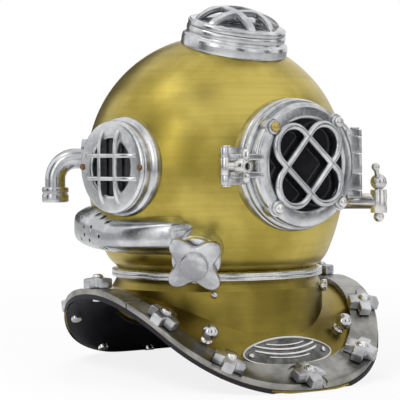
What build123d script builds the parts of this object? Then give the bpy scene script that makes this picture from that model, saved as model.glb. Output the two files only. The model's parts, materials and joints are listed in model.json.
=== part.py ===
"""Brass diving helmet: bonnet, ports, valves and breastplate as separate pieces.

Modelled with its neck ring level and centred on the origin, front towards -Y and the wearer's
left towards +X, then stood on the lowest edges of its front and rear flaps.
"""

import os
from math import atan2, cos, degrees, radians, sin, sqrt, tan

from build123d import *

os.makedirs("parts", exist_ok=True)

# Clearances and fits
seat_gap = 0.2
running_gap = 0.05
moving_gap = 0.6
overrun = 5.0

# Bonnet, a spun dome on a drawn-in neck
dome_radius = 159.5
dome_height = 131.0
bonnet_wall = 2.5
belly_radius = 270.0
belly_drop = 106.0
throat_radius = 41.0
neck_top = 7.0

# Rings that join the bonnet to the breastplate
ring_radius = 130.0
ring_height = 8.6
ring_bore = 106.0
ring_lip = 123.0
thread_radius = 116.5
thread_lug = 3.0
thread_depth = 16.0
thread_lugs = 4
thread_lug_angle = 38.0
gasket_inner = 119.0
gasket_outer = 126.0
gasket_wall = 1.6

# Breastplate collar and flap
collar_top_radius = 123.0
crease_radius = 130.0
collar_wall = 3.0
collar_bend = 17.0
crease_drop = 22.5
crease_arch = 190.0
flap_drop = 20.0
flap_arch = 170.0
flap_arch_angle = 41.0
flap_wall = 3.5
half_width = 187.0
front_reach = 190.0
rear_reach = 166.0
outline_power = 2.35
flap_hollow_share = 0.9
rest_trim = 1.2
rest_room = 1.0
sheet_step = 3.0
lining_wall = 2.0
lining_inset = 2.0

# Brails, the four straps that clamp the collar of the suit
brail_width = 35.0
brail_rear_width = 24.0
brail_wall = 7.0
brail_gap = 1.5

# Studs and nuts round the flap
stud_radius = 6.5
stud_crown = 4.0
stud_taper = 35.0
nut_height = 14.0
facing_depth = 0.9
nut_share = 0.62
nut_span = 10.0
nut_lobe_share = 0.46
stud_azimuths = (0.0, 34.0, 58.7, 92.0, 122.0, 152.0, 180.0, -152.0, -122.0, -92.0, -58.7, -34.0)
brail_splits = (4.0, 70.0, 175.5, -70.0)

# Front port
port_height = 132.0
front_flange_radius = 78.7
front_bore = 52.0
front_face = 164.0
door_radius = 73.0
door_wall = 14.0
door_opening = 54.0
door_lip = 3.0
door_ear = 10.0
door_bolt_circle = 67.0
glass_radius = 57.0
glass_wall = 7.0
retainer_wall = 2.4
retainer_bore = 52.0
front_gasket_outer = 66.0
front_gasket_inner = 60.0
front_gasket_wall = 2.5
loop_radius = 23.7
loop_centre = 32.0
loop_bar = 8.5
loop_depth = 8.0
guard_twist = 3.0
guard_ear_wall = 4.0
door_bolt = 4.0
guard_ear = 8.5
bolt_head = 6.5
bolt_head_height = 4.0
bolt_taper = 20.0

# Faceplate hinge on the wearer's left
hinge_reach = 84.0
hinge_stand = 165.5
knuckle_radius = 8.5
hinge_pin_radius = 4.0
knuckle_heights = (9.0, 20.0, 24.0, 20.0, 9.0)
knuckle_gap = 0.4
knuckle_web = 13.6
hinge_head = 5.5
hinge_head_height = 2.5

# Catch on the wearer's right
catch_reach = 97.0
catch_pivot = 152.0
catch_ear = 8.0
catch_ear_wall = 11.0
catch_ear_web = 24.0
catch_eye_height = 20.0
catch_pin_radius = 4.0
catch_bolt_radius = 4.5
catch_bolt_end = 186.0
catch_bolt_room = 2.0
catch_lug_half = 14.0
catch_lug_end = 9.0
catch_lug_wall = 11.0
wing_hub = 10.0
wing_hub_height = 12.0
wing_reach = 13.0
wing_half_width = 6.5
wing_wall = 5.0
wing_bore_room = 1.8
wing_taper = 8.0
wing_root_height = 8.4
wing_bore_depth = 9.0

# Side ports
side_azimuth = 81.5
side_height = 131.0
side_flange_radius = 59.5
side_flange_face = 163.0
side_barrel_radius = 55.0
side_face = 171.0
side_bore = 34.0
side_seat_depth = 10.4
side_guard_wall = 4.0
side_screw_head = 1.5
side_glass_radius = 38.0
side_glass_wall = 7.0
side_gasket_wall = 2.5
side_fin = 6.0
side_fin_depth = 12.0
side_fin_pitch = 27.0
side_fin_half = 44.5
side_screw = 3.5
side_screw_circle = 50.0

# Top port
top_tilt = 15.0
top_flange_radius = 65.0
top_flange_face = 163.0
top_barrel_radius = 60.0
top_face = 172.0
top_bore = 38.0
top_seat_depth = 10.4
top_guard_wall = 5.0
top_guard_radius = 56.0
top_bar_pitch = 30.0
top_screw_circle = 54.0
top_glass_radius = 42.0
top_glass_wall = 7.0
top_gasket_wall = 2.5
top_guard_rise = 26.0
top_bar = 8.0
top_bar_wall = 7.0

# Exhaust valve and its channel, low on the wearer's right
valve_azimuth = -44.5
valve_height = 86.0
valve_dip = 20.0
valve_radius = 28.0
valve_bore = 21.0
valve_seat_bore = 14.0
valve_seat = 163.0
valve_face = 186.0
valve_cap_wall = 4.0
stem_radius = 4.0
spindle_radius = 8.0
spindle_end = 178.0
wheel_face = 190.0
wheel_wall = 9.0
wheel_lobe = 11.0
wheel_reach = 39.0
wheel_hub = 16.5
wheel_web = 22.0
wheel_turn = 40.0
wheel_hub_height = 16.0
disc_radius = 18.0
disc_wall = 3.0
button_radius = 14.0
button_wall = 4.0
button_reach = 128.0
button_travel = 6.0
spring_wire = 1.6
spring_radius = 10.0
spring_turns = 4
channel_low = 24.0
channel_high = 79.0
channel_dip = 5.0
channel_dip_span = 25.0
channel_outer = 176.0
channel_wall = 2.5
channel_root = 118.0
channel_start = -54.0
channel_end = -124.0
channel_bend = -82.0
channel_bend_span = 26.0
channel_rise = 10.0
channel_steps = 24
channel_rows = 12
vent_radius = 2.2
vent_shares = (
    (-97.0, 0.84),
    (-92.4, 0.84),
    (-87.0, 0.8),
    (-95.1, 0.61),
    (-101.8, 0.55),
    (-101.3, 0.41),
    (-97.0, 0.32),
    (-89.2, 0.47),
    (-92.4, 0.17),
    (-88.2, 0.2),
    (-106.0, 0.3),
    (-106.0, 0.7),
)

# Goosenecks at the back
neck_azimuth = 128.0
neck_height = 140.0
neck_pipe = 12.5
neck_bore = 8.5
neck_bend = 26.0
neck_reach = 200.0
neck_drop = 24.0
neck_collar = 16.5
neck_collar_height = 19.0
neck_thread = 4.0
neck_base = 24.0
neck_base_wall = 6.0

# Spitcock on the wearer's left front
cock_azimuth = 38.0
cock_height = 86.0
cock_radius = 9.5
cock_reach = 204.0
cock_ball = 10.0
cock_tip = 6.5
cock_plug = 5.0
cock_bore = 3.0
cock_half = 14.0
cock_cross = 10.0
cock_lever = 26.0
cock_lever_radius = 3.0
cock_lever_tip = 5.0
cock_ball_turn = 200.0

# Small fittings
knob_azimuth = 41.5
knob_share = 0.3
knob_ball = 10.0
knob_neck = 4.5
knob_foot = 7.2
knob_rise = 14.0
plate_half_length = 66.0
plate_half_height = 20.0
plate_rim = 2.5
plate_rise = 1.2
plate_share = 0.17
plate_span = 30.0
plate_start = 0.02
plate_pad = 3.2
plate_rim_height = 5.1
plate_screw = 3.5
plate_screw_neck = 2.1
plate_screw_place = 54.0
plate_screw_low = 2.0
plate_screw_high = 6.5
rivet_ball = 4.5
rivet_neck = 3.0
rivet_azimuth = -38.0
rivet_drop = 20.0
latch_drop = 17.5
latch_azimuth = 40.0
latch_width = 14.0
latch_length = 26.0
latch_wall = 4.0
latch_pin_radius = 2.5


def arch(y, radius, limit=90.0):
    """Drop of an arch at a distance from its crown, straight past a limit angle."""
    bend = radius * sin(radians(limit))
    if abs(y) <= bend:
        return radius - sqrt(radius * radius - y * y)
    return radius * (1 - cos(radians(limit))) + (abs(y) - bend) * tan(radians(limit))


def outline_reach(azimuth):
    """Distance from the axis to the flap's outer edge at an azimuth from the front."""
    across = abs(sin(radians(azimuth))) / half_width
    along = abs(cos(radians(azimuth)))
    along = along / (front_reach if cos(radians(azimuth)) > 0 else rear_reach)
    return (across**outline_power + along**outline_power) ** (-1 / outline_power)


def flap_point(azimuth, share, lift=0.0):
    """Point on the flap's upper face, from the crease at share 0 to the outer edge at share 1."""
    reach = crease_radius + share * (outline_reach(azimuth) - crease_radius)
    inner = crease_drop + arch(crease_radius * cos(radians(azimuth)), crease_arch)
    outer_y = outline_reach(azimuth) * cos(radians(azimuth))
    outer = flap_drop + arch(outer_y, flap_arch, flap_arch_angle)
    bowed = share + flap_hollow_share * share * (1 - share)
    drop = inner + (outer - inner) * bowed
    return Vector(reach * sin(radians(azimuth)), -reach * cos(radians(azimuth)), lift - drop)


def crease_share(azimuth, outset):
    """Share of the way out at which the flap is an outset past the crease."""
    return outset / (outline_reach(azimuth) - crease_radius)


def edge_share(azimuth, inset):
    """Share of the way out at which the flap is an inset short of its edge."""
    return 1 - inset / (outline_reach(azimuth) - crease_radius)


def flap_sheet(first, last, inner, outer, lift, wall, rows=6):
    """Solid sheet along the flap between two azimuths, each edge given by a share function."""
    steps = round((last - first) / sheet_step)
    points = []
    for row in range(rows + 1):
        line = []
        for step in range(steps + 1):
            azimuth = first + (last - first) * step / steps
            low = inner(azimuth)
            high = outer(azimuth)
            line.append(flap_point(azimuth, low + (high - low) * row / rows, lift))
        points.append(line)
    face = Face.make_surface_from_array_of_points(points)
    return Solid.extrude(face, Vector(0, 0, -wall))


def facing(azimuth, height, reach, dip=0.0):
    """Plane at a reach from the axis, its normal pointing out and down by a dip."""
    level = Vector(sin(radians(azimuth)), -cos(radians(azimuth)), 0)
    out = level * cos(radians(dip)) - Vector(0, 0, sin(radians(dip)))
    origin = Vector(0, 0, height) + out * reach
    return Plane(origin=origin, x_dir=(cos(radians(azimuth)), sin(radians(azimuth)), 0), z_dir=out)


def bonnet_outline(inset):
    """Half outline of the bonnet with its wall drawn in by an inset, closed on the axis."""
    belly_turn = degrees(atan2(belly_drop, sqrt(belly_radius**2 - belly_drop**2)))
    belly_x = dome_radius - belly_radius
    low_x = belly_x + belly_radius * cos(radians(belly_turn))
    low_z = dome_height - belly_drop
    throat_x = low_x - throat_radius * cos(radians(belly_turn))
    throat_z = low_z + throat_radius * sin(radians(belly_turn))
    throat_rise = throat_z - neck_top
    throat_end = degrees(atan2(throat_rise, sqrt(throat_radius**2 - throat_rise**2)))
    with BuildSketch(Plane.XZ) as outline:
        with BuildLine():
            crown = CenterArc((0, dome_height), dome_radius - inset, 0, 90)
            CenterArc((belly_x, dome_height), belly_radius - inset, -belly_turn, belly_turn)
            turn = throat_end - belly_turn
            throat = CenterArc((throat_x, throat_z), throat_radius - inset, -throat_end, turn)
            foot = throat @ 0
            Line(foot, (0, foot.Y))
            Line((0, foot.Y), crown @ 1)
        make_face()
    return outline.sketch


def ring_sector(inner, outer, low, high, middle, angle):
    """Sector of a ring about the helmet's axis, at a middle azimuth from the front."""
    with BuildPart() as sector:
        with BuildSketch(facing(middle + 90 - angle / 2, 0, 0)):
            with Locations(((inner + outer) / 2 * -1, (low + high) / 2)):
                Rectangle(outer - inner, high - low)
        revolve(axis=Axis.Z, revolution_arc=angle)
    return sector.part


# Standing attitude: the lowest edges of the front and rear flaps touch the floor
front_drop = arch(front_reach, flap_arch, flap_arch_angle)
rear_drop = arch(rear_reach, flap_arch, flap_arch_angle)
lean = degrees(atan2(front_drop - rear_drop, front_reach + rear_reach))
foot = flap_drop + flap_wall + front_drop
foot_depth = foot * cos(radians(lean)) - front_reach * sin(radians(lean)) - rest_trim
down = Vector(0, sin(radians(lean)), -cos(radians(lean)))
floor_plane = Plane(origin=down * foot_depth, x_dir=(1, 0, 0), z_dir=down)
pieces = []

# The bonnet grown by the seat gap, to cut the feet of its fittings
with BuildPart() as bonnet_core:
    add(bonnet_outline(-seat_gap))
    revolve(axis=Axis.Z)

front = facing(0, port_height, 0)
side_planes = {"right": -side_azimuth, "left": side_azimuth}
top_plane = Plane(
    origin=(0, 0, dome_height),
    x_dir=(1, 0, 0),
    z_dir=(0, -sin(radians(top_tilt)), cos(radians(top_tilt))),
)
valve = facing(valve_azimuth, valve_height, 0, valve_dip)
cock = facing(cock_azimuth, cock_height, 0)
neck_sides = {"right": -neck_azimuth, "left": neck_azimuth}

# Bonnet shell
with BuildPart() as bonnet_shell:
    add(bonnet_outline(0))
    revolve(axis=Axis.Z)
    with BuildSketch(front):
        Circle(front_bore)
    extrude(amount=2 * dome_radius, mode=Mode.SUBTRACT)
    for azimuth in side_planes.values():
        with BuildSketch(facing(azimuth, side_height, 0)):
            Circle(side_bore)
        extrude(amount=2 * dome_radius, mode=Mode.SUBTRACT)
    with BuildSketch(top_plane):
        Circle(top_bore)
    extrude(amount=2 * dome_radius, mode=Mode.SUBTRACT)
    with BuildSketch(valve):
        Circle(valve_seat_bore)
    extrude(amount=2 * dome_radius, mode=Mode.SUBTRACT)
    with BuildSketch(cock):
        Circle(cock_bore)
    extrude(amount=2 * dome_radius, mode=Mode.SUBTRACT)
    for azimuth in neck_sides.values():
        with BuildSketch(facing(azimuth, neck_height, 0)):
            Circle(neck_bore)
        extrude(amount=2 * dome_radius, mode=Mode.SUBTRACT)
    add(bonnet_outline(bonnet_wall))
    revolve(axis=Axis.Z, mode=Mode.SUBTRACT)
    with BuildSketch(Plane.XY):
        Circle(ring_bore)
    extrude(amount=2 * neck_top, mode=Mode.SUBTRACT)
bonnet_shell.part.label = "bonnet_shell"
pieces.append(bonnet_shell.part)

# Neck ring of the bonnet, with the lugs of the interrupted thread on its spigot
ring_top = ring_height / 2
spigot_radius = thread_radius - thread_lug - moving_gap
with BuildPart() as bonnet_neck_ring:
    with BuildSketch(Plane.XZ):
        with BuildLine():
            Polyline(
                (ring_bore, -thread_depth),
                (ring_bore, neck_top - seat_gap),
                (ring_lip, neck_top - seat_gap),
                (ring_radius, ring_top),
                (ring_radius, seat_gap),
                (spigot_radius, seat_gap),
                (spigot_radius, -thread_depth),
                close=True,
            )
        make_face()
    revolve(axis=Axis.Z)
    for step in range(thread_lugs):
        add(
            ring_sector(
                spigot_radius - moving_gap,
                thread_radius - moving_gap,
                -thread_depth,
                -thread_depth + thread_lug,
                step * 360 / thread_lugs,
                thread_lug_angle,
            )
        )
bonnet_neck_ring.part.label = "bonnet_neck_ring"
pieces.append(bonnet_neck_ring.part)

# Neck ring of the breastplate, with its own lugs above those of the bonnet
socket_wall = collar_top_radius - collar_wall - seat_gap
female_low = -thread_depth + thread_lug + moving_gap
with BuildPart() as breastplate_neck_ring:
    with BuildSketch(Plane.XZ):
        with BuildLine():
            Polyline(
                (thread_radius, -thread_depth),
                (thread_radius, -seat_gap),
                (gasket_inner - seat_gap, -seat_gap),
                (gasket_inner - seat_gap, -gasket_wall - seat_gap),
                (gasket_outer + seat_gap, -gasket_wall - seat_gap),
                (gasket_outer + seat_gap, -seat_gap),
                (ring_radius, -seat_gap),
                (ring_radius, -ring_top),
                (socket_wall, -ring_top),
                (socket_wall, -thread_depth),
                close=True,
            )
        make_face()
    revolve(axis=Axis.Z)
    for step in range(thread_lugs):
        add(
            ring_sector(
                thread_radius - thread_lug,
                thread_radius + moving_gap,
                female_low,
                female_low + thread_lug,
                step * 360 / thread_lugs,
                thread_lug_angle,
            )
        )
breastplate_neck_ring.part.label = "breastplate_neck_ring"
pieces.append(breastplate_neck_ring.part)

with BuildPart() as neck_gasket:
    with BuildSketch(Plane.XY.offset(-gasket_wall - seat_gap)):
        Circle(gasket_outer)
        Circle(gasket_inner, mode=Mode.SUBTRACT)
    extrude(amount=gasket_wall)
neck_gasket.part.label = "neck_gasket"
pieces.append(neck_gasket.part)


def brail_reach(azimuth):
    """Width of the brails in plan at an azimuth, widest at the front."""
    return brail_rear_width + (brail_width - brail_rear_width) * (1 + cos(radians(azimuth))) / 2


def nut_size(azimuth):
    """Reach and half width of the arms of the nut at an azimuth."""
    reach = nut_share * brail_reach(azimuth)
    return reach, nut_lobe_share * reach


def stud_plane(azimuth, lift=0.0):
    """Plane on the flap at a stud, its normal square to the flap."""
    share = edge_share(azimuth, brail_reach(azimuth) / 2)
    return flap_plane(azimuth, share, lift)


def flap_plane(azimuth, share, lift=0.0):
    """Plane tangent to the flap, its x axis running along the edge."""
    step_share = 0.01
    here = flap_point(azimuth, share)
    outward = flap_point(azimuth, share + step_share) - flap_point(azimuth, share - step_share)
    along = flap_point(azimuth + 1, share) - flap_point(azimuth - 1, share)
    normal = along.cross(outward) * -1
    if normal.Z < 0:
        normal = normal * -1
    normal = normal.normalized()
    return Plane(origin=here + normal * lift, x_dir=along.normalized(), z_dir=normal)


stud_planes = [stud_plane(azimuth) for azimuth in stud_azimuths]

# Breastplate: collar and flap in one sheet, cut flat where it stands on the floor
with BuildPart() as flap_both:
    half = flap_sheet(
        0,
        180,
        lambda azimuth: crease_share(azimuth, -collar_wall / 2),
        lambda azimuth: 1.0,
        0,
        flap_wall,
    )
    add(half)
    add(half.mirror(Plane.YZ))

with BuildPart() as breastplate_shell:
    deepest = crease_drop + arch(crease_radius, crease_arch) + flap_wall
    with BuildSketch(Plane.XZ):
        with BuildLine():
            Polyline(
                (crease_radius, -deepest),
                (crease_radius, -collar_bend),
                (collar_top_radius, -ring_top - seat_gap),
                (collar_top_radius - collar_wall, -ring_top - seat_gap),
                (crease_radius - collar_wall, -collar_bend),
                (crease_radius - collar_wall, -deepest),
                close=True,
            )
        make_face()
    revolve(axis=Axis.Z)
    with BuildSketch(Plane.YZ.offset(-half_width)):
        with Locations((0, -crease_drop - crease_arch)):
            Circle(crease_arch - flap_wall / 2)
    extrude(amount=2 * half_width, mode=Mode.SUBTRACT)
    add(flap_both.part)
    for plane in stud_planes:
        with BuildSketch(plane.offset(-2 * flap_wall)):
            Circle(stud_radius + moving_gap)
        extrude(amount=4 * flap_wall, mode=Mode.SUBTRACT)
    with BuildSketch(floor_plane):
        Rectangle(4 * half_width, 4 * half_width)
    extrude(amount=front_reach, mode=Mode.SUBTRACT)
breastplate_shell.part.label = "breastplate_shell"
pieces.append(breastplate_shell.part)

with BuildPart() as breastplate_lining:
    half = flap_sheet(
        0,
        180,
        lambda azimuth: crease_share(azimuth, 0),
        lambda azimuth: edge_share(azimuth, lining_inset),
        -flap_wall - seat_gap,
        lining_wall,
    )
    add(half)
    add(half.mirror(Plane.YZ))
    for plane in stud_planes:
        with BuildSketch(plane.offset(-4 * flap_wall)):
            Circle(stud_radius + moving_gap)
        extrude(amount=6 * flap_wall, mode=Mode.SUBTRACT)
    with BuildSketch(floor_plane.offset(-rest_room)):
        Rectangle(4 * half_width, 4 * half_width)
    extrude(amount=front_reach, mode=Mode.SUBTRACT)
breastplate_lining.part.label = "breastplate_lining"
pieces.append(breastplate_lining.part)

# Brails, from one split to the next, each faced flat under its nuts
nut_seat = brail_wall - facing_depth
brail_names = ("brail_right_front", "brail_left_front", "brail_left_rear", "brail_right_rear")
half_gap = degrees(brail_gap / 2 / half_width)
brail_starts = (brail_splits[3], *brail_splits[:3])
for name, first, last in zip(brail_names, brail_starts, (*brail_splits[:3], brail_splits[3] + 360)):
    with BuildPart() as brail:
        add(
            flap_sheet(
                first + half_gap,
                last - half_gap,
                lambda azimuth: edge_share(azimuth, brail_reach(azimuth)),
                lambda azimuth: 1.0,
                seat_gap + brail_wall,
                brail_wall,
            )
        )
        for azimuth, plane in zip(stud_azimuths, stud_planes):
            past_first = (azimuth - first + nut_span) % 360
            if past_first < last - first + 2 * nut_span:
                if nut_span < past_first < last - first + nut_span:
                    with BuildSketch(plane.offset(-brail_wall)):
                        Circle(stud_radius + moving_gap)
                    extrude(amount=4 * brail_wall, mode=Mode.SUBTRACT)
                reach, lobe = nut_size(azimuth)
                with BuildSketch(plane.offset(nut_seat)):
                    Circle(sqrt(reach * reach + lobe * lobe) + moving_gap)
                extrude(amount=nut_height, mode=Mode.SUBTRACT)
    brail.part.label = name
    pieces.append(brail.part)

# Studs and their four-armed nuts
with BuildPart() as flap_studs:
    for plane in stud_planes:
        with BuildSketch(plane.offset(-flap_wall - lining_wall - stud_crown)):
            Circle(stud_radius)
        extrude(amount=flap_wall + lining_wall + stud_crown + nut_seat + nut_height)
        with BuildSketch(plane.offset(nut_seat + nut_height)):
            Circle(stud_radius)
        extrude(amount=stud_crown, taper=stud_taper)
    with BuildSketch(floor_plane.offset(-rest_room)):
        Rectangle(4 * half_width, 4 * half_width)
    extrude(amount=front_reach, mode=Mode.SUBTRACT)
flap_studs.part.label = "flap_studs"
pieces.append(flap_studs.part)

with BuildPart() as brail_nuts:
    for azimuth, plane in zip(stud_azimuths, stud_planes):
        reach, lobe = nut_size(azimuth)
        with BuildSketch(plane.offset(nut_seat + seat_gap)):
            Rectangle(2 * reach, 2 * lobe)
            Rectangle(2 * lobe, 2 * reach)
            Circle(stud_radius + running_gap, mode=Mode.SUBTRACT)
        extrude(amount=nut_height)
brail_nuts.part.label = "brail_nuts"
pieces.append(brail_nuts.part)

# Front port frame: the flange on the dome, two hinge knuckles and the catch ears
hinge_height = sum(knuckle_heights)
knuckle_edges = [port_height - hinge_height / 2 + sum(knuckle_heights[:k]) for k in range(6)]
door_knuckles = (0, 2, 4)
frame_knuckles = (1, 3)
ear_low = catch_eye_height / 2 + knuckle_gap
with BuildPart() as front_port_frame:
    with BuildSketch(front):
        Circle(front_flange_radius)
    extrude(amount=front_face)
    for k in frame_knuckles:
        with BuildSketch(Plane.XY.offset(knuckle_edges[k] + knuckle_gap)):
            with Locations((hinge_reach, -hinge_stand)):
                Circle(knuckle_radius)
            with Locations((hinge_reach - knuckle_radius, -hinge_stand + knuckle_radius)):
                Rectangle(2 * knuckle_radius, knuckle_web)
        extrude(amount=knuckle_heights[k] - 2 * knuckle_gap)
    for sign in (1, -1):
        low = port_height + (ear_low if sign > 0 else -ear_low - catch_ear_wall)
        with BuildSketch(Plane.XY.offset(low)):
            with Locations((-catch_reach, -catch_pivot)):
                Circle(catch_ear)
            with Locations((-catch_reach + catch_ear_web / 2, -catch_pivot)):
                Rectangle(catch_ear_web, 2 * catch_ear)
        extrude(amount=catch_ear_wall)
    for k in door_knuckles:
        with BuildSketch(Plane.XY.offset(knuckle_edges[k] - knuckle_gap)):
            with Locations((hinge_reach, -hinge_stand)):
                Circle(knuckle_radius + moving_gap)
        extrude(amount=knuckle_heights[k] + 2 * knuckle_gap, mode=Mode.SUBTRACT)
    with BuildSketch(front):
        Circle(front_bore)
    extrude(amount=2 * front_face, mode=Mode.SUBTRACT)
    with BuildSketch(front.offset(front_face - front_gasket_wall + seat_gap)):
        Circle(front_gasket_outer + seat_gap)
        Circle(front_gasket_inner - seat_gap, mode=Mode.SUBTRACT)
    extrude(amount=front_gasket_wall, mode=Mode.SUBTRACT)
    with BuildSketch(Plane.XY):
        with Locations((hinge_reach, -hinge_stand)):
            Circle(hinge_pin_radius + running_gap)
        with Locations((-catch_reach, -catch_pivot)):
            Circle(catch_pin_radius + running_gap)
    extrude(amount=2 * dome_height, mode=Mode.SUBTRACT)
    add(bonnet_core.part, mode=Mode.SUBTRACT)
front_port_frame.part.label = "front_port_frame"
pieces.append(front_port_frame.part)

with BuildPart() as faceplate_gasket:
    with BuildSketch(front.offset(front_face - front_gasket_wall + seat_gap)):
        Circle(front_gasket_outer)
        Circle(front_gasket_inner, mode=Mode.SUBTRACT)
    extrude(amount=front_gasket_wall)
faceplate_gasket.part.label = "faceplate_gasket"
pieces.append(faceplate_gasket.part)

# Faceplate: a ring with four bolt ears, three hinge knuckles and the forked catch lug
door_back = front_face + 2 * seat_gap
door_front = door_back + door_wall
hinge_web_start = door_opening + overrun
hinge_web_x = (hinge_web_start + hinge_reach) / 2
hinge_web_y = hinge_stand + knuckle_radius
ear_places = [(door_bolt_circle, 45 + 90 * k + guard_twist) for k in range(4)]
ear_points = [(r * cos(radians(a)), r * sin(radians(a))) for r, a in ear_places]
with BuildPart() as faceplate_ring:
    with BuildSketch(front.offset(door_back)):
        Circle(door_radius)
        with Locations(*ear_points):
            Circle(door_ear)
    extrude(amount=door_wall)
    for k in door_knuckles:
        with BuildSketch(Plane.XY.offset(knuckle_edges[k] + knuckle_gap)):
            with Locations((hinge_reach, -hinge_stand)):
                Circle(knuckle_radius)
            with Locations((hinge_web_x, -(door_back + hinge_web_y) / 2)):
                Rectangle(hinge_reach - hinge_web_start, hinge_web_y - door_back)
        extrude(amount=knuckle_heights[k] - 2 * knuckle_gap)
    lug_low = door_front - catch_lug_wall
    with BuildSketch(front.offset(lug_low)):
        with Locations((-(catch_reach + catch_lug_end + door_opening + overrun) / 2, 0)):
            Rectangle(catch_reach + catch_lug_end - door_opening - overrun, 2 * catch_lug_half)
    extrude(amount=catch_lug_wall)
    with BuildSketch(front.offset(lug_low - seat_gap)):
        with Locations((-catch_reach - catch_lug_end, 0)):
            slot_half = catch_bolt_radius + catch_bolt_room
            Rectangle(2 * (catch_lug_end + slot_half), 2 * slot_half)
    extrude(amount=catch_lug_wall + 2 * seat_gap, mode=Mode.SUBTRACT)
    with BuildSketch(front.offset(door_back - seat_gap)):
        Circle(door_opening)
    extrude(amount=2 * door_wall, mode=Mode.SUBTRACT)
    with BuildSketch(front.offset(door_back - seat_gap)):
        Circle(glass_radius + seat_gap)
    extrude(amount=door_wall - door_lip + seat_gap, mode=Mode.SUBTRACT)
    for k in frame_knuckles:
        with BuildSketch(Plane.XY.offset(knuckle_edges[k])):
            with Locations((hinge_reach, -hinge_stand)):
                Circle(knuckle_radius + moving_gap)
        extrude(amount=knuckle_heights[k], mode=Mode.SUBTRACT)
    with BuildSketch(Plane.XY):
        with Locations((hinge_reach, -hinge_stand)):
            Circle(hinge_pin_radius + running_gap)
    extrude(amount=2 * dome_height, mode=Mode.SUBTRACT)
    with BuildSketch(front.offset(door_back)):
        with Locations(*ear_points):
            Circle(door_bolt + running_gap)
    extrude(amount=door_wall, mode=Mode.SUBTRACT)
faceplate_ring.part.label = "faceplate_ring"
pieces.append(faceplate_ring.part)

glass_front = door_front - door_lip - seat_gap
with BuildPart() as faceplate_glass:
    with BuildSketch(front.offset(glass_front - glass_wall)):
        Circle(glass_radius)
    extrude(amount=glass_wall)
faceplate_glass.part.label = "faceplate_glass"
pieces.append(faceplate_glass.part)

with BuildPart() as faceplate_glass_ring:
    with BuildSketch(front.offset(glass_front - glass_wall - seat_gap - retainer_wall)):
        Circle(glass_radius)
        Circle(retainer_bore, mode=Mode.SUBTRACT)
    extrude(amount=retainer_wall)
faceplate_glass_ring.part.label = "faceplate_glass_ring"
pieces.append(faceplate_glass_ring.part)

# Guard: two crossed loops with an ear under each bolt
guard_back = door_front + seat_gap
with BuildPart() as faceplate_guard:
    for turn in (45 + guard_twist, 135 + guard_twist):
        with BuildSketch(front.offset(guard_back)):
            SlotCenterToCenter(2 * loop_centre, 2 * loop_radius + loop_bar, rotation=turn)
            SlotCenterToCenter(
                2 * loop_centre, 2 * loop_radius - loop_bar, rotation=turn, mode=Mode.SUBTRACT
            )
        extrude(amount=loop_depth)
    with BuildSketch(front.offset(guard_back)):
        with Locations(*ear_points):
            Circle(guard_ear)
            Circle(door_bolt + running_gap, mode=Mode.SUBTRACT)
    extrude(amount=guard_ear_wall)
faceplate_guard.part.label = "faceplate_guard"
pieces.append(faceplate_guard.part)

with BuildPart() as faceplate_bolts:
    with BuildSketch(front.offset(door_back)):
        with Locations(*ear_points):
            Circle(door_bolt)
    extrude(amount=door_wall + seat_gap + guard_ear_wall)
    with BuildSketch(front.offset(guard_back + guard_ear_wall)):
        with Locations(*ear_points):
            Circle(bolt_head)
    extrude(amount=bolt_head_height, taper=bolt_taper)
faceplate_bolts.part.label = "faceplate_bolts"
pieces.append(faceplate_bolts.part)

with BuildPart() as faceplate_hinge_pin:
    low = knuckle_edges[0] - hinge_head_height
    with BuildSketch(Plane.XY.offset(low)):
        with Locations((hinge_reach, -hinge_stand)):
            Circle(hinge_pin_radius)
    extrude(amount=hinge_height + 2 * hinge_head_height)
    for low in (knuckle_edges[0] - hinge_head_height, knuckle_edges[5]):
        with BuildSketch(Plane.XY.offset(low)):
            with Locations((hinge_reach, -hinge_stand)):
                Circle(hinge_head)
        extrude(amount=hinge_head_height)
faceplate_hinge_pin.part.label = "faceplate_hinge_pin"
pieces.append(faceplate_hinge_pin.part)

# Catch: an eye bolt on a pin between the ears, and the wing nut that clamps the lug
with BuildPart() as catch_pin:
    pin_half = ear_low + catch_ear_wall + hinge_head_height
    with BuildSketch(Plane.XY.offset(port_height - pin_half)):
        with Locations((-catch_reach, -catch_pivot)):
            Circle(catch_pin_radius)
    extrude(amount=2 * pin_half)
    for low in (port_height - pin_half, port_height + pin_half - hinge_head_height):
        with BuildSketch(Plane.XY.offset(low)):
            with Locations((-catch_reach, -catch_pivot)):
                Circle(hinge_head)
        extrude(amount=hinge_head_height)
catch_pin.part.label = "catch_pin"
pieces.append(catch_pin.part)

with BuildPart() as catch_eye_bolt:
    with BuildSketch(Plane.XY.offset(port_height - catch_eye_height / 2)):
        with Locations((-catch_reach, -catch_pivot)):
            Circle(catch_ear)
    extrude(amount=catch_eye_height)
    with BuildSketch(front.offset(catch_pivot)):
        with Locations((-catch_reach, 0)):
            Circle(catch_bolt_radius)
    extrude(amount=catch_bolt_end - catch_pivot)
    with BuildSketch(Plane.XY):
        with Locations((-catch_reach, -catch_pivot)):
            Circle(catch_pin_radius + running_gap)
    extrude(amount=2 * dome_height, mode=Mode.SUBTRACT)
catch_eye_bolt.part.label = "catch_eye_bolt"
pieces.append(catch_eye_bolt.part)

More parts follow.
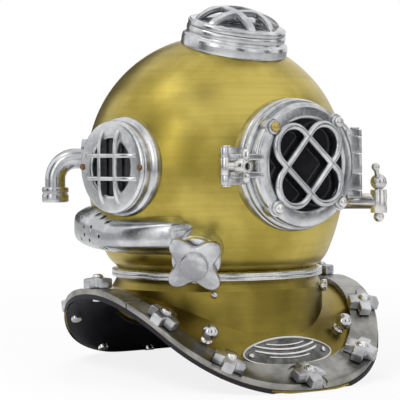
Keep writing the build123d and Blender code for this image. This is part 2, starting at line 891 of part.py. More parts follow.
wing_back = door_front + seat_gap
with BuildPart() as catch_wing_nut:
    with BuildSketch(front.offset(wing_back)):
        with Locations((-catch_reach, 0)):
            Circle(wing_hub)
    extrude(amount=wing_hub_height, taper=wing_taper)
    for sign in (1, -1):
        with BuildSketch(front.offset(wing_back)):
            with Locations((-catch_reach, sign * wing_reach / 2)):
                Rectangle(wing_wall, wing_reach)
        extrude(amount=wing_root_height)
        with BuildSketch(Plane.YZ.offset(-catch_reach - wing_wall / 2)):
            with Locations((-wing_back - wing_hub_height, port_height + sign * wing_reach)):
                Circle(wing_half_width)
        extrude(amount=wing_wall)
    with BuildSketch(front.offset(wing_back - seat_gap)):
        with Locations((-catch_reach, 0)):
            Circle(catch_bolt_radius + wing_bore_room)
    extrude(amount=wing_bore_depth, mode=Mode.SUBTRACT)
    with BuildSketch(front.offset(wing_back - dome_radius)):
        with Locations((-catch_reach, 0)):
            Rectangle(dome_radius, dome_radius)
    extrude(amount=dome_radius, mode=Mode.SUBTRACT)
catch_wing_nut.part.label = "catch_wing_nut"
pieces.append(catch_wing_nut.part)

# Side ports: flange and barrel, glass on its gasket, and a guard ring with crossed fins
for side, azimuth in side_planes.items():
    plane = facing(azimuth, side_height, 0)
    with BuildPart() as side_port_frame:
        with BuildSketch(plane):
            Circle(side_flange_radius)
        extrude(amount=side_flange_face)
        with BuildSketch(plane):
            Circle(side_barrel_radius)
        extrude(amount=side_face)
        with BuildSketch(plane):
            Circle(side_bore)
        extrude(amount=2 * side_face, mode=Mode.SUBTRACT)
        with BuildSketch(plane.offset(side_face - side_seat_depth)):
            Circle(side_glass_radius + seat_gap)
        extrude(amount=2 * side_seat_depth, mode=Mode.SUBTRACT)
        add(bonnet_core.part, mode=Mode.SUBTRACT)
    side_port_frame.part.label = f"{side}_port_frame"
    pieces.append(side_port_frame.part)
    with BuildPart() as side_port_gasket:
        with BuildSketch(plane.offset(side_face - side_seat_depth + seat_gap)):
            Circle(side_glass_radius)
            Circle(side_bore, mode=Mode.SUBTRACT)
        extrude(amount=side_gasket_wall)
    side_port_gasket.part.label = f"{side}_port_gasket"
    pieces.append(side_port_gasket.part)
    with BuildPart() as side_port_glass:
        with BuildSketch(plane.offset(side_face - side_seat_depth + 2 * seat_gap + side_gasket_wall)):
            Circle(side_glass_radius)
        extrude(amount=side_glass_wall)
    side_port_glass.part.label = f"{side}_port_glass"
    pieces.append(side_port_glass.part)
    with BuildPart() as side_port_guard:
        with BuildSketch(plane.offset(side_face + seat_gap)):
            Circle(side_barrel_radius)
            Circle(side_bore, mode=Mode.SUBTRACT)
        extrude(amount=side_guard_wall)
        for sign in (1, -1):
            with BuildSketch(plane.offset(side_face + seat_gap)):
                with Locations((sign * side_fin_pitch / 2, 0)):
                    Rectangle(side_fin, 2 * side_fin_half)
                with Locations((0, sign * side_fin_pitch / 2)):
                    Rectangle(2 * side_fin_half, side_fin)
            extrude(amount=side_fin_depth)
        with BuildSketch(plane.offset(side_face)):
            with Locations((side_screw_circle, 0), (-side_screw_circle, 0)):
                Circle(side_screw + running_gap)
        extrude(amount=side_fin_depth, mode=Mode.SUBTRACT)
    side_port_guard.part.label = f"{side}_port_guard"
    pieces.append(side_port_guard.part)
    with BuildPart() as side_port_screws:
        with BuildSketch(plane.offset(side_face + seat_gap)):
            with Locations((side_screw_circle, 0), (-side_screw_circle, 0)):
                Circle(side_screw)
        extrude(amount=side_guard_wall + side_screw_head)
    side_port_screws.part.label = f"{side}_port_screws"
    pieces.append(side_port_screws.part)

# Top port, tilted forward, under a domed guard
with BuildPart() as top_port_frame:
    with BuildSketch(top_plane):
        Circle(top_flange_radius)
    extrude(amount=top_flange_face)
    with BuildSketch(top_plane):
        Circle(top_barrel_radius)
    extrude(amount=top_face)
    with BuildSketch(top_plane):
        Circle(top_bore)
    extrude(amount=2 * top_face, mode=Mode.SUBTRACT)
    with BuildSketch(top_plane.offset(top_face - top_seat_depth)):
        Circle(top_glass_radius + seat_gap)
    extrude(amount=2 * top_seat_depth, mode=Mode.SUBTRACT)
    add(bonnet_core.part, mode=Mode.SUBTRACT)
top_port_frame.part.label = "top_port_frame"
pieces.append(top_port_frame.part)

with BuildPart() as top_port_gasket:
    with BuildSketch(top_plane.offset(top_face - top_seat_depth + seat_gap)):
        Circle(top_glass_radius)
        Circle(top_bore, mode=Mode.SUBTRACT)
    extrude(amount=top_gasket_wall)
top_port_gasket.part.label = "top_port_gasket"
pieces.append(top_port_gasket.part)

with BuildPart() as top_port_glass:
    with BuildSketch(top_plane.offset(top_face - top_seat_depth + 2 * seat_gap + top_gasket_wall)):
        Circle(top_glass_radius)
    extrude(amount=top_glass_wall)
top_port_glass.part.label = "top_port_glass"
pieces.append(top_port_glass.part)

guard_foot = top_face + seat_gap
guard_side = Plane(
    origin=top_plane.offset(guard_foot).origin,
    x_dir=(1, 0, 0),
    z_dir=Vector(1, 0, 0).cross(top_plane.z_dir),
)
with BuildPart() as top_port_guard:
    for sign in (1, -1):
        with BuildSketch(top_plane.offset(guard_foot)):
            with Locations((sign * top_bar_pitch / 2, 0)):
                Rectangle(top_bar, 2 * top_barrel_radius)
            with Locations((0, sign * top_bar_pitch / 2)):
                Rectangle(2 * top_barrel_radius, top_bar)
        extrude(amount=2 * top_guard_rise)
    for inset, mode in ((0, Mode.INTERSECT), (top_bar_wall, Mode.SUBTRACT)):
        with BuildSketch(guard_side):
            with BuildLine():
                dome = EllipticalCenterArc(
                    (0, 0), top_guard_radius - inset, top_guard_rise - inset, 0, arc_size=90
                )
                Polyline(dome @ 1, (0, 0), dome @ 0)
            make_face()
        revolve(axis=Axis(guard_side.origin, top_plane.z_dir), mode=mode)
    with BuildSketch(top_plane.offset(guard_foot)):
        Circle(top_barrel_radius)
        Circle(top_glass_radius, mode=Mode.SUBTRACT)
    extrude(amount=top_guard_wall)
    with BuildSketch(top_plane.offset(guard_foot)):
        with PolarLocations(top_screw_circle, 4, 45):
            Circle(side_screw + running_gap)
    extrude(amount=top_guard_wall, mode=Mode.SUBTRACT)
top_port_guard.part.label = "top_port_guard"
pieces.append(top_port_guard.part)

with BuildPart() as top_port_screws:
    with BuildSketch(top_plane.offset(guard_foot)):
        with PolarLocations(top_screw_circle, 4, 45):
            Circle(side_screw)
    extrude(amount=top_guard_wall + side_screw_head)
top_port_screws.part.label = "top_port_screws"
pieces.append(top_port_screws.part)

# Exhaust valve
with BuildPart() as exhaust_valve_body:
    with BuildSketch(valve):
        Circle(valve_radius)
    extrude(amount=valve_face)
    with BuildSketch(valve):
        Circle(valve_seat_bore)
    extrude(amount=valve_face - valve_cap_wall, mode=Mode.SUBTRACT)
    with BuildSketch(valve.offset(valve_seat)):
        Circle(valve_bore)
    extrude(amount=valve_face - valve_cap_wall - valve_seat, mode=Mode.SUBTRACT)
    with BuildSketch(valve.offset(valve_seat)):
        Circle(spindle_radius + running_gap)
    extrude(amount=valve_face, mode=Mode.SUBTRACT)
    add(bonnet_core.part, mode=Mode.SUBTRACT)
exhaust_valve_body.part.label = "exhaust_valve_body"
pieces.append(exhaust_valve_body.part)

with BuildPart() as exhaust_handwheel:
    with BuildSketch(valve.offset(wheel_face)):
        for turn in (wheel_turn, wheel_turn + 90):
            SlotOverall(2 * wheel_reach, 2 * wheel_lobe, rotation=turn)
        Circle(wheel_web)
    extrude(amount=wheel_wall)
    with BuildSketch(valve.offset(wheel_face)):
        Circle(wheel_hub)
    extrude(amount=wheel_hub_height)
    with BuildSketch(valve.offset(spindle_end)):
        Circle(spindle_radius)
    extrude(amount=wheel_face + wheel_wall - spindle_end)
    with BuildSketch(valve.offset(spindle_end)):
        Circle(stem_radius + running_gap)
    extrude(amount=button_travel + 2 * moving_gap, mode=Mode.SUBTRACT)
exhaust_handwheel.part.label = "exhaust_handwheel"
pieces.append(exhaust_handwheel.part)

disc_back = valve_seat + seat_gap
with BuildPart() as exhaust_valve_disc:
    with BuildSketch(valve.offset(disc_back)):
        Circle(disc_radius)
    extrude(amount=disc_wall)
    with BuildSketch(valve.offset(button_reach)):
        Circle(stem_radius)
    extrude(amount=spindle_end - moving_gap - button_reach)
exhaust_valve_disc.part.label = "exhaust_valve_disc"
pieces.append(exhaust_valve_disc.part)

with BuildPart() as chin_button:
    with BuildSketch(valve.offset(button_reach)):
        Circle(button_radius)
        Circle(stem_radius + running_gap, mode=Mode.SUBTRACT)
    extrude(amount=button_wall)
chin_button.part.label = "chin_button"
pieces.append(chin_button.part)

spring_low = disc_back + disc_wall + spring_wire
spring_high = valve_face - valve_cap_wall - spring_wire
with BuildPart() as exhaust_spring:
    coil = Helix(
        pitch=(spring_high - spring_low) / spring_turns,
        height=spring_high - spring_low,
        radius=spring_radius,
    )
    placed = valve.offset(spring_low).location * coil
    with BuildLine():
        add(placed)
    with BuildSketch(Plane(origin=placed @ 0, z_dir=placed % 0)):
        Circle(spring_wire / 2)
    sweep(is_frenet=True)
exhaust_spring.part.label = "exhaust_spring"
pieces.append(exhaust_spring.part)
coil_turn = 1 / spring_turns
coil_shares = [(here, here + 1 + aside) for here in (0, 0.25, 0.5, 0.75) for aside in (-0.1, 0, 0.1)]
coil_gaps = [((coil @ (a * coil_turn)) - (coil @ (b * coil_turn))).length for a, b in coil_shares]
print("spring least gap", round(min(coil_gaps) - spring_wire, 3))

# Exhaust channel: a duct on the dome that widens to a vented rear end
def channel_point(azimuth, share, inset):
    """Point on the duct, from its low edge at share 0 to its high edge at share 1."""
    along = min(max((channel_bend - azimuth) / channel_bend_span, 0), 1)
    rise = channel_rise * along * along * (3 - 2 * along)
    aside = min(abs(azimuth + side_azimuth) / channel_dip_span, 1)
    dip = channel_dip * (1 - aside**2) ** 2
    low = channel_low + inset
    high = channel_high + rise - dip - inset
    across = 2 * share - 1
    reach = channel_root + (channel_outer - inset - channel_root) * (1 - across**4)
    return Vector(
        reach * sin(radians(azimuth)), -reach * cos(radians(azimuth)), low + (high - low) * share
    )


channel_middle = facing((channel_start + channel_end) / 2, 0, 0)
channel_inset_angle = degrees(channel_wall / channel_outer)
with BuildPart() as exhaust_channel:
    for inset, mode in ((0, Mode.ADD), (channel_wall, Mode.SUBTRACT)):
        margin = channel_inset_angle * inset / channel_wall
        first = channel_start - margin
        last = channel_end + margin
        points = [
            [
                channel_point(first + (last - first) * step / channel_steps, row / channel_rows, inset)
                for step in range(channel_steps + 1)
            ]
            for row in range(channel_rows + 1)
        ]
        face = Face.make_surface_from_array_of_points(points)
        add(Solid.extrude(face, channel_middle.z_dir * -channel_root / 2), mode=mode)
    add(bonnet_core.part, mode=Mode.SUBTRACT)
    with BuildSketch(valve):
        Circle(valve_radius + seat_gap)
    extrude(amount=2 * channel_outer, mode=Mode.SUBTRACT)
    for azimuth, share in vent_shares:
        with BuildSketch(facing(azimuth, channel_point(azimuth, share, 0).Z, 0)):
            Circle(vent_radius)
        extrude(amount=2 * channel_outer, mode=Mode.SUBTRACT)
exhaust_channel.part.label = "exhaust_channel"
pieces.append(exhaust_channel.part)

# Goosenecks: a base on the dome, a pipe that turns down, and a screwed end
for side, azimuth in neck_sides.items():
    plane = facing(azimuth, neck_height, 0)
    across = Plane(origin=plane.origin, x_dir=plane.z_dir, z_dir=plane.x_dir * -1)
    bend_start = neck_reach - neck_bend
    with BuildPart() as gooseneck:
        for radius, mode in ((neck_pipe, Mode.ADD), (neck_bore, Mode.SUBTRACT)):
            with BuildLine(across) as path:
                Line((dome_radius / 2, 0), (bend_start, 0))
                RadiusArc((bend_start, 0), (neck_reach, -neck_bend), neck_bend)
                Line((neck_reach, -neck_bend), (neck_reach, -neck_bend - neck_drop))
            with BuildSketch(plane.offset(dome_radius / 2)):
                Circle(radius)
            sweep(path=path.line, mode=mode)
            if mode == Mode.ADD:
                with BuildSketch(plane):
                    Circle(neck_base)
                extrude(amount=dome_radius + neck_base_wall)
        with BuildSketch(plane):
            Circle(neck_bore)
        extrude(amount=bend_start, mode=Mode.SUBTRACT)
        add(bonnet_core.part, mode=Mode.SUBTRACT)
    gooseneck.part.label = f"{side}_gooseneck"
    pieces.append(gooseneck.part)
    end = Plane(
        origin=plane.origin + plane.z_dir * neck_reach - Vector(0, 0, neck_bend + neck_drop),
        x_dir=plane.x_dir,
        z_dir=(0, 0, 1),
    )
    with BuildPart() as gooseneck_collar:
        with BuildSketch(end.offset(-neck_thread)):
            Circle(neck_collar)
            Circle(neck_pipe + running_gap, mode=Mode.SUBTRACT)
        extrude(amount=neck_collar_height)
    gooseneck_collar.part.label = f"{side}_gooseneck_collar"
    pieces.append(gooseneck_collar.part)

# Spitcock: barrel on the dome, a taper plug turned by its lever
cock_axis = facing(cock_azimuth, cock_height, cock_reach)
with BuildPart() as spitcock_body:
    with BuildSketch(cock):
        Circle(cock_radius)
    extrude(amount=cock_reach)
    with BuildSketch(Plane(origin=cock_axis.origin - Vector(0, 0, cock_half), z_dir=(0, 0, 1))):
        Circle(cock_cross)
    extrude(amount=2 * cock_half)
    with BuildSketch(cock):
        Circle(cock_bore)
    extrude(amount=2 * cock_reach, mode=Mode.SUBTRACT)
    with BuildSketch(Plane(origin=cock_axis.origin - Vector(0, 0, 2 * cock_half), z_dir=(0, 0, 1))):
        Circle(cock_plug + running_gap)
    extrude(amount=4 * cock_half, mode=Mode.SUBTRACT)
    add(bonnet_core.part, mode=Mode.SUBTRACT)
spitcock_body.part.label = "spitcock_body"
pieces.append(spitcock_body.part)

ball_foot = cock_half + moving_gap
ball_centre = ball_foot + sqrt(cock_ball**2 - cock_plug**2)
tip_centre = ball_foot + sqrt(cock_tip**2 - cock_plug**2)
lever_out = (Vector(0, 0, 1) - cock_axis.x_dir).normalized()
lever_start = cock_axis.origin + Vector(0, 0, ball_centre)
with BuildPart() as spitcock_plug:
    with Locations(lever_start):
        Sphere(cock_ball, rotation=(0, 0, cock_ball_turn))
    with Locations(cock_axis.origin - Vector(0, 0, tip_centre)):
        Sphere(cock_tip, rotation=(0, 0, cock_ball_turn))
    with BuildSketch(Plane(origin=cock_axis.origin - Vector(0, 0, ball_foot), z_dir=(0, 0, 1))):
        Circle(2 * cock_ball)
    extrude(amount=2 * ball_foot, mode=Mode.SUBTRACT)
    with BuildSketch(Plane(origin=cock_axis.origin - Vector(0, 0, tip_centre), z_dir=(0, 0, 1))):
        Circle(cock_plug)
    extrude(amount=tip_centre + ball_centre)
    with BuildSketch(Plane(origin=lever_start, z_dir=lever_out)):
        Circle(cock_lever_radius)
    extrude(amount=cock_lever)
    with Locations(lever_start + lever_out * cock_lever):
        Sphere(cock_lever_tip, rotation=(0, 0, cock_ball_turn))
    with BuildSketch(cock_axis.offset(-cock_reach)):
        Circle(cock_bore)
    extrude(amount=2 * cock_reach, mode=Mode.SUBTRACT)
spitcock_plug.part.label = "spitcock_plug"
pieces.append(spitcock_plug.part)

# Ball knobs on the front of the flap
with BuildPart() as flap_knobs:
    for azimuth in (knob_azimuth, -knob_azimuth):
        plane = flap_plane(azimuth, knob_share, 2 * seat_gap)
        with BuildSketch(plane):
            Circle(knob_foot)
        extrude(amount=knob_neck / 2)
        with BuildSketch(plane):
            Circle(knob_neck)
        extrude(amount=knob_rise)
        with Locations(plane.offset(knob_rise)):
            Sphere(knob_ball)
flap_knobs.part.label = "flap_knobs"
pieces.append(flap_knobs.part)

# Nameplate: an oval sheet that follows the flap, with a raised rim and plain lines
plate_plane = flap_plane(0, plate_share)
with BuildPart() as nameplate:
    for height, inner in ((plate_pad, 0), (plate_rim_height, plate_rim)):
        layer = flap_sheet(
            -plate_span,
            plate_span,
            lambda azimuth: plate_start,
            lambda azimuth: edge_share(azimuth, brail_width + seat_gap),
            seat_gap + height,
            height,
        )
        with BuildPart(mode=Mode.PRIVATE) as oval:
            with BuildSketch(plate_plane.offset(-brail_width)):
                Ellipse(plate_half_length, plate_half_height)
                if inner:
                    Ellipse(plate_half_length - inner, plate_half_height - inner, mode=Mode.SUBTRACT)
            extrude(amount=2 * brail_width)
        add(layer & oval.part)
    with BuildSketch(plate_plane.offset(-brail_width)):
        with Locations((plate_screw_place, 0), (-plate_screw_place, 0)):
            Circle(plate_screw_neck + running_gap)
    extrude(amount=2 * brail_width, mode=Mode.SUBTRACT)
nameplate.part.label = "nameplate"
pieces.append(nameplate.part)

with BuildPart() as nameplate_screws:
    for sign in (1, -1):
        plane = Plane(
            origin=plate_plane.origin + plate_plane.x_dir * sign * plate_screw_place,
            x_dir=plate_plane.x_dir,
            z_dir=plate_plane.z_dir,
        )
        with BuildSketch(plane.offset(plate_screw_low)):
            Circle(plate_screw_neck)
        extrude(amount=plate_screw_high - plate_screw_low)
        with BuildSketch(plane.offset(plate_screw_high)):
            Circle(plate_screw)
        extrude(amount=plate_rise, taper=bolt_taper)
nameplate_screws.part.label = "nameplate_screws"
pieces.append(nameplate_screws.part)

# Round-headed screw on the collar
with BuildPart() as collar_rivet:
    spot = facing(rivet_azimuth, -rivet_drop, crease_radius + seat_gap)
    with BuildSketch(spot):
        Circle(rivet_neck)
    extrude(amount=rivet_ball)
    with Locations(spot.offset(rivet_ball)):
        Sphere(rivet_ball)
    with BuildSketch(spot.offset(-2 * rivet_ball)):
        Circle(2 * rivet_ball)
    extrude(amount=2 * rivet_ball, mode=Mode.SUBTRACT)
collar_rivet.part.label = "collar_rivet"
pieces.append(collar_rivet.part)

# Safety latch on the collar, hanging beside the rings until it is turned up
latch_spot = facing(latch_azimuth, -latch_drop, 0)
with BuildPart() as latch_pin:
    with BuildSketch(latch_spot):
        Circle(latch_pin_radius)
    extrude(amount=ring_radius + 2 * moving_gap + latch_wall + running_gap)
    with BuildSketch(latch_spot.offset(ring_radius + 2 * moving_gap + latch_wall + running_gap)):
        Circle(latch_pin_radius * 2)
    extrude(amount=latch_pin_radius)
    with BuildSketch(Plane.XY.offset(-2 * latch_drop - ring_height)):
        Circle(crease_radius + seat_gap)
    extrude(amount=3 * latch_drop + ring_height, mode=Mode.SUBTRACT)
latch_pin.part.label = "latch_pin"
pieces.append(latch_pin.part)

with BuildPart() as safety_latch:
    with BuildSketch(latch_spot.offset(ring_radius + 2 * moving_gap)):
        with Locations((latch_length / 2 - latch_width / 2, 0)):
            SlotOverall(latch_length, latch_width)
        Circle(latch_pin_radius + running_gap, mode=Mode.SUBTRACT)
    extrude(amount=latch_wall)
safety_latch.part.label = "safety_latch"
pieces.append(safety_latch.part)

# Stand every piece on the flaps, centred over the whole helmet's footprint
standing = Location((0, 0, foot_depth), (-lean, 0, 0))
boxes = [piece.moved(standing).bounding_box() for piece in pieces]
middle_x = (min(box.min.X for box in boxes) + max(box.max.X for box in boxes)) / 2
middle_y = (min(box.min.Y for box in boxes) + max(box.max.Y for box in boxes)) / 2
placing = Location((-middle_x, -middle_y, foot_depth), (-lean, 0, 0))
print("lean", round(lean, 4), "placing", placing.position)
for piece in pieces:
    export_step(piece.moved(placing), f"parts/{piece.label}.step")
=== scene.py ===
"""Brass diving helmet: finishes, dressed fittings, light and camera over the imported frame."""

import json
from math import atan2, cos, degrees, pi, radians, sin, sqrt, tan

import bpy
from bpy.props import FloatProperty, FloatVectorProperty, PointerProperty
from mathutils import Matrix, Vector


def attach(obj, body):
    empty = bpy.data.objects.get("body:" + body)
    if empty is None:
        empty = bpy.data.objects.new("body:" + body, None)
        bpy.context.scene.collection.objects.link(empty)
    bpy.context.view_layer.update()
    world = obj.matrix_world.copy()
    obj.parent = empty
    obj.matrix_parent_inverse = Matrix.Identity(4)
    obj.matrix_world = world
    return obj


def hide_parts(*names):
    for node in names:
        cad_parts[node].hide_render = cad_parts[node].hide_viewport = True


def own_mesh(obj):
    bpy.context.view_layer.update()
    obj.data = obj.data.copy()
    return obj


bl_info = {
    "name": "Brass diving helmet",
    "version": (1, 0, 0),
    "blender": (4, 5, 0),
    "location": "View3D > Sidebar > Helmet",
    "description": "Dresses the packed helmet in brushed brass and polished castings",
    "category": "Object",
}

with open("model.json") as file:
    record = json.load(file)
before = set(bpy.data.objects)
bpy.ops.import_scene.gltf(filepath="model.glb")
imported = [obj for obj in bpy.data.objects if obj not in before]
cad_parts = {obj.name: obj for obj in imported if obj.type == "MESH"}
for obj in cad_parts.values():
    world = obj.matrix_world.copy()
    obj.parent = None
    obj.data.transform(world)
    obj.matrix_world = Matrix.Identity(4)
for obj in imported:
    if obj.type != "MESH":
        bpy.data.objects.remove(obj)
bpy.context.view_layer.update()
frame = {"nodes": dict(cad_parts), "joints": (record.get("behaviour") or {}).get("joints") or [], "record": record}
joints = {joint["name"]: joint for joint in frame["joints"]}
MM = 0.001

# The helmet's own frame: origin at the middle of the neck rings, z along the leaned axis
neck_up = Vector(joints["bonnet_turn"]["axis"]).normalized()
neck_side = Vector((1, 0, 0))
helmet = Matrix((neck_side, neck_up.cross(neck_side), neck_up)).transposed().to_4x4()
helmet.translation = Vector(joints["bonnet_turn"]["pos_m"])

# Sizes of the flap, in millimetres, as the solids have them
crease_radius = 130.0
crease_drop = 22.5
crease_arch = 190.0
flap_drop = 20.0
flap_arch = 170.0
flap_arch_angle = 41.0
flap_hollow_share = 0.9
half_width = 187.0
front_reach = 190.0
rear_reach = 166.0
outline_power = 2.35
brail_width = 35.0
brail_rear_width = 24.0
stud_azimuths = (0.0, 34.0, 58.7, 92.0, 122.0, 152.0, 180.0, -152.0, -122.0, -92.0, -58.7, -34.0)
nut_seat = 6.1

# Places of the fittings, azimuths from the front and towards the wearer's left
port_height = 132.0
knuckle_heights = (9, 20, 24, 20, 9)
knuckle_edges = [
    port_height - sum(knuckle_heights) / 2 + sum(knuckle_heights[:step]) for step in range(6)
]
knuckle_radius = 8.5
knuckle_gap = 0.4
hinge_place = (84, -165.5)
side_azimuth = 81.5
side_height = 131.0
dome_height = 131.0
top_tilt = 15.0
valve_azimuth = -44.5
valve_height = 86.0
valve_dip = 20.0
neck_azimuth = 128.0
neck_height = 140.0
neck_reach = 200.0
knob_azimuth = 41.5
knob_share = 0.3
plate_face = 2.5
plate_share = 0.17
plate_inner = (63.5, 17.5)
plate_pad = 3.2
plate_screw_spot = (21.4, 0.28)


def arch(y, radius, limit=90.0):
    """Drop of an arch at a distance from its crown, straight past a limit angle."""
    bend = radius * sin(radians(limit))
    if abs(y) <= bend:
        return radius - sqrt(radius * radius - y * y)
    return radius * (1 - cos(radians(limit))) + (abs(y) - bend) * tan(radians(limit))


def outline_reach(azimuth):
    """Distance from the axis to the flap's outer edge."""
    across = abs(sin(radians(azimuth))) / half_width
    along = abs(cos(radians(azimuth)))
    along = along / (front_reach if cos(radians(azimuth)) > 0 else rear_reach)
    return (across**outline_power + along**outline_power) ** (-1 / outline_power)


def flap_point(azimuth, share):
    """Point on the flap's upper face, from the crease at share 0 to the edge at share 1."""
    reach = crease_radius + share * (outline_reach(azimuth) - crease_radius)
    inner = crease_drop + arch(crease_radius * cos(radians(azimuth)), crease_arch)
    outer_y = outline_reach(azimuth) * cos(radians(azimuth))
    outer = flap_drop + arch(outer_y, flap_arch, flap_arch_angle)
    bowed = share + flap_hollow_share * share * (1 - share)
    drop = inner + (outer - inner) * bowed
    return Vector((reach * sin(radians(azimuth)), -reach * cos(radians(azimuth)), -drop))


def edge_share(azimuth, inset):
    """Share of the way out at which the flap is an inset short of its edge."""
    return 1 - inset / (outline_reach(azimuth) - crease_radius)


def brail_reach(azimuth):
    """Width of the clamp straps in plan, widest at the front."""
    return brail_rear_width + (brail_width - brail_rear_width) * (1 + cos(radians(azimuth))) / 2


def placed(origin, across, normal):
    """Matrix in metres of a plane given in the helmet's frame in millimetres."""
    normal = normal.normalized()
    across = (across - normal * across.dot(normal)).normalized()
    local = Matrix((across, normal.cross(across), normal)).transposed().to_4x4()
    local.translation = origin * MM
    return helmet @ local


def facing(azimuth, height, reach=0.0, dip=0.0):
    """Plane whose normal points out from the axis at a height, dipped below the level."""
    level = Vector((sin(radians(azimuth)), -cos(radians(azimuth)), 0))
    out = level * cos(radians(dip)) - Vector((0, 0, sin(radians(dip))))
    across = Vector((cos(radians(azimuth)), sin(radians(azimuth)), 0))
    return placed(Vector((0, 0, height)) + out * reach, across, out)


def on_flap(azimuth, share, lift=0.0):
    """Plane square to the flap, its x axis along the edge."""
    step = 0.01
    outward = flap_point(azimuth, share + step) - flap_point(azimuth, share - step)
    along = flap_point(azimuth + 1, share) - flap_point(azimuth - 1, share)
    normal = outward.cross(along).normalized()
    if normal.z < 0:
        normal = -normal
    return placed(flap_point(azimuth, share) + normal * lift, along, normal)


front = facing(0, port_height)
sides = {"right": facing(-side_azimuth, side_height), "left": facing(side_azimuth, side_height)}
top = placed(
    Vector((0, 0, dome_height)),
    Vector((1, 0, 0)),
    Vector((0, -sin(radians(top_tilt)), cos(radians(top_tilt)))),
)
valve = facing(valve_azimuth, valve_height, 0, valve_dip)


class Value:
    """A shader value that adds a Math node for each sum it is used in."""

    def __init__(self, finish, socket):
        self.finish = finish
        self.socket = socket

    def _sum(self, operation, first, second):
        made = self.finish.node("ShaderNodeMath", {"operation": operation}, {0: first, 1: second})
        return Value(self.finish, made.outputs[0])

    def __add__(self, other):
        return self._sum("ADD", self, other)

    __radd__ = __add__

    def __sub__(self, other):
        return self._sum("SUBTRACT", self, other)

    def __mul__(self, other):
        return self._sum("MULTIPLY", self, other)

    __rmul__ = __mul__


class Finish:
    """The nodes of one surface finish."""

    def __init__(self, name):
        self.material = bpy.data.materials.new(name)
        self.material.use_nodes = True
        self.tree = self.material.node_tree
        self.tree.nodes.clear()
        self.output = self.node("ShaderNodeOutputMaterial")

    def node(self, kind, settings=None, values=None):
        """Any node: its settings first, then the values or links of its sockets."""
        made = self.tree.nodes.new(kind)
        for key, value in (settings or {}).items():
            if key == "stops":
                while len(made.color_ramp.elements) < len(value):
                    made.color_ramp.elements.new(1)
                for element, (place, colour) in zip(made.color_ramp.elements, value):
                    element.position = place
                    element.color = (*colour, 1)
            else:
                setattr(made, key, value)
        for key, value in (values or {}).items():
            if isinstance(value, Value):
                value = value.socket
            if isinstance(value, bpy.types.NodeSocket):
                self.tree.links.new(value, made.inputs[key])
            else:
                made.inputs[key].default_value = value
        return made

    def coordinates(self, matrix, stretch=(1, 1, 1)):
        """Object coordinates measured in a plane's own axes, stretched."""
        source = self.node("ShaderNodeTexCoord").outputs["Object"]
        inverse = matrix.inverted()
        turned = self.node(
            "ShaderNodeMapping",
            {"vector_type": "POINT"},
            {
                "Vector": source,
                "Location": inverse.translation,
                "Rotation": inverse.to_euler(),
            },
        )
        scaled = self.node(
            "ShaderNodeMapping",
            {"vector_type": "POINT"},
            {"Vector": turned.outputs[0], "Scale": stretch},
        )
        return scaled.outputs[0]

    def noise(self, vector, scale, detail=3.0, roughness=0.55, distortion=0.0):
        """Soft noise between 0 and 1."""
        made = self.node(
            "ShaderNodeTexNoise",
            None,
            {
                "Vector": vector,
                "Scale": scale,
                "Detail": detail,
                "Roughness": roughness,
                "Distortion": distortion,
            },
        )
        return Value(self, made.outputs["Fac"])

    def between(self, value, low, high):
        """The value brought from between two bounds to between 0 and 1, with soft ends."""
        made = self.node(
            "ShaderNodeMapRange",
            {"interpolation_type": "SMOOTHSTEP"},
            {"Value": value, "From Min": low, "From Max": high},
        )
        return Value(self, made.outputs["Result"])

    def blend(self, factor, first, second):
        """One colour run into another."""
        made = self.node("ShaderNodeMix", {"data_type": "RGBA"})
        for index, value in ((0, factor), (6, first), (7, second)):
            if isinstance(value, Value):
                value = value.socket
            if isinstance(value, bpy.types.NodeSocket):
                self.tree.links.new(value, made.inputs[index])
            else:
                made.inputs[index].default_value = (*value, 1) if index else value
        return made.outputs[2]

    def bump(self, height, strength, distance):
        """Normal raised by a height."""
        made = self.node(
            "ShaderNodeBump",
            None,
            {"Height": height, "Strength": strength, "Distance": distance},
        )
        return made.outputs[0]

    def surface(self, **values):
        """The surface shader, with sockets named by words."""
        named = {
            key.replace("_", " ").title().replace("Ior", "IOR"): value
            for key, value in values.items()
        }
        made = self.node("ShaderNodeBsdfPrincipled", None, named)
        self.tree.links.new(made.outputs[0], self.output.inputs["Surface"])
        return self.material


def brushed_brass(name, light, deep, dull, roughness):
    """Spun brass with fine level lines, cloudy tone and a few handling marks."""
    made = Finish(name)
    cloud = made.noise(made.coordinates(helmet), 9, 4)
    lines = made.noise(made.coordinates(helmet, (2.5, 2.5, 620)), 1, 3, 0.7)
    long_lines = made.noise(made.coordinates(helmet, (7, 7, 190)), 1, 2, 0.6)
    marks = made.between(made.noise(made.coordinates(helmet), 46, 5, 0.65, 0.6), 0.62, 0.78)
    tone = made.blend(made.between(cloud, 0.35, 0.68), deep, light)
    tone = made.blend(made.between(long_lines, 0.42, 0.7) * 0.16, tone, dull)
    tone = made.blend(marks * 0.14, tone, dull)
    rough = roughness + lines * 0.1 + marks * 0.08 + cloud * 0.06
    return made.surface(
        base_color=tone,
        metallic=1.0,
        roughness=rough,
        normal=made.bump(lines + long_lines * 0.6, 0.1, 0.0004),
    )


def polished_casting_with_shade_and_wear(name, bright, shade, roughness, grain=1.0):
    """Polished casting: bright, with cloudy darker patches laid by noise at random places, which stand in for
    painted shade in crevices as well as wear, soft hand-finishing dips and small pits.
    """
    made = Finish(name)
    cloud = made.noise(made.coordinates(helmet), 26, 4, 0.6)
    fine = made.noise(made.coordinates(helmet), 240, 3, 0.6)
    dips = made.noise(made.coordinates(helmet), 60, 2, 0.4)
    pits = made.between(made.noise(made.coordinates(helmet), 330, 2, 0.5), 0.7, 0.8)
    # Painted shade and wear: the cloud runs the tone down to the darker colour. It is meant as the shade in
    # crevices but follows noise, not the shape
    tone = made.blend(made.between(cloud, 0.38, 0.66), shade, bright)
    tone = made.blend(pits * 0.45, tone, [0.45 * part for part in shade])
    rough = roughness + cloud * 0.12 + fine * 0.08 + pits * 0.2
    return made.surface(
        base_color=tone,
        metallic=1.0,
        roughness=rough,
        normal=made.bump(dips * 1.6 + fine * 0.25 - pits * 0.5, 0.16 * grain, 0.0012),
    )


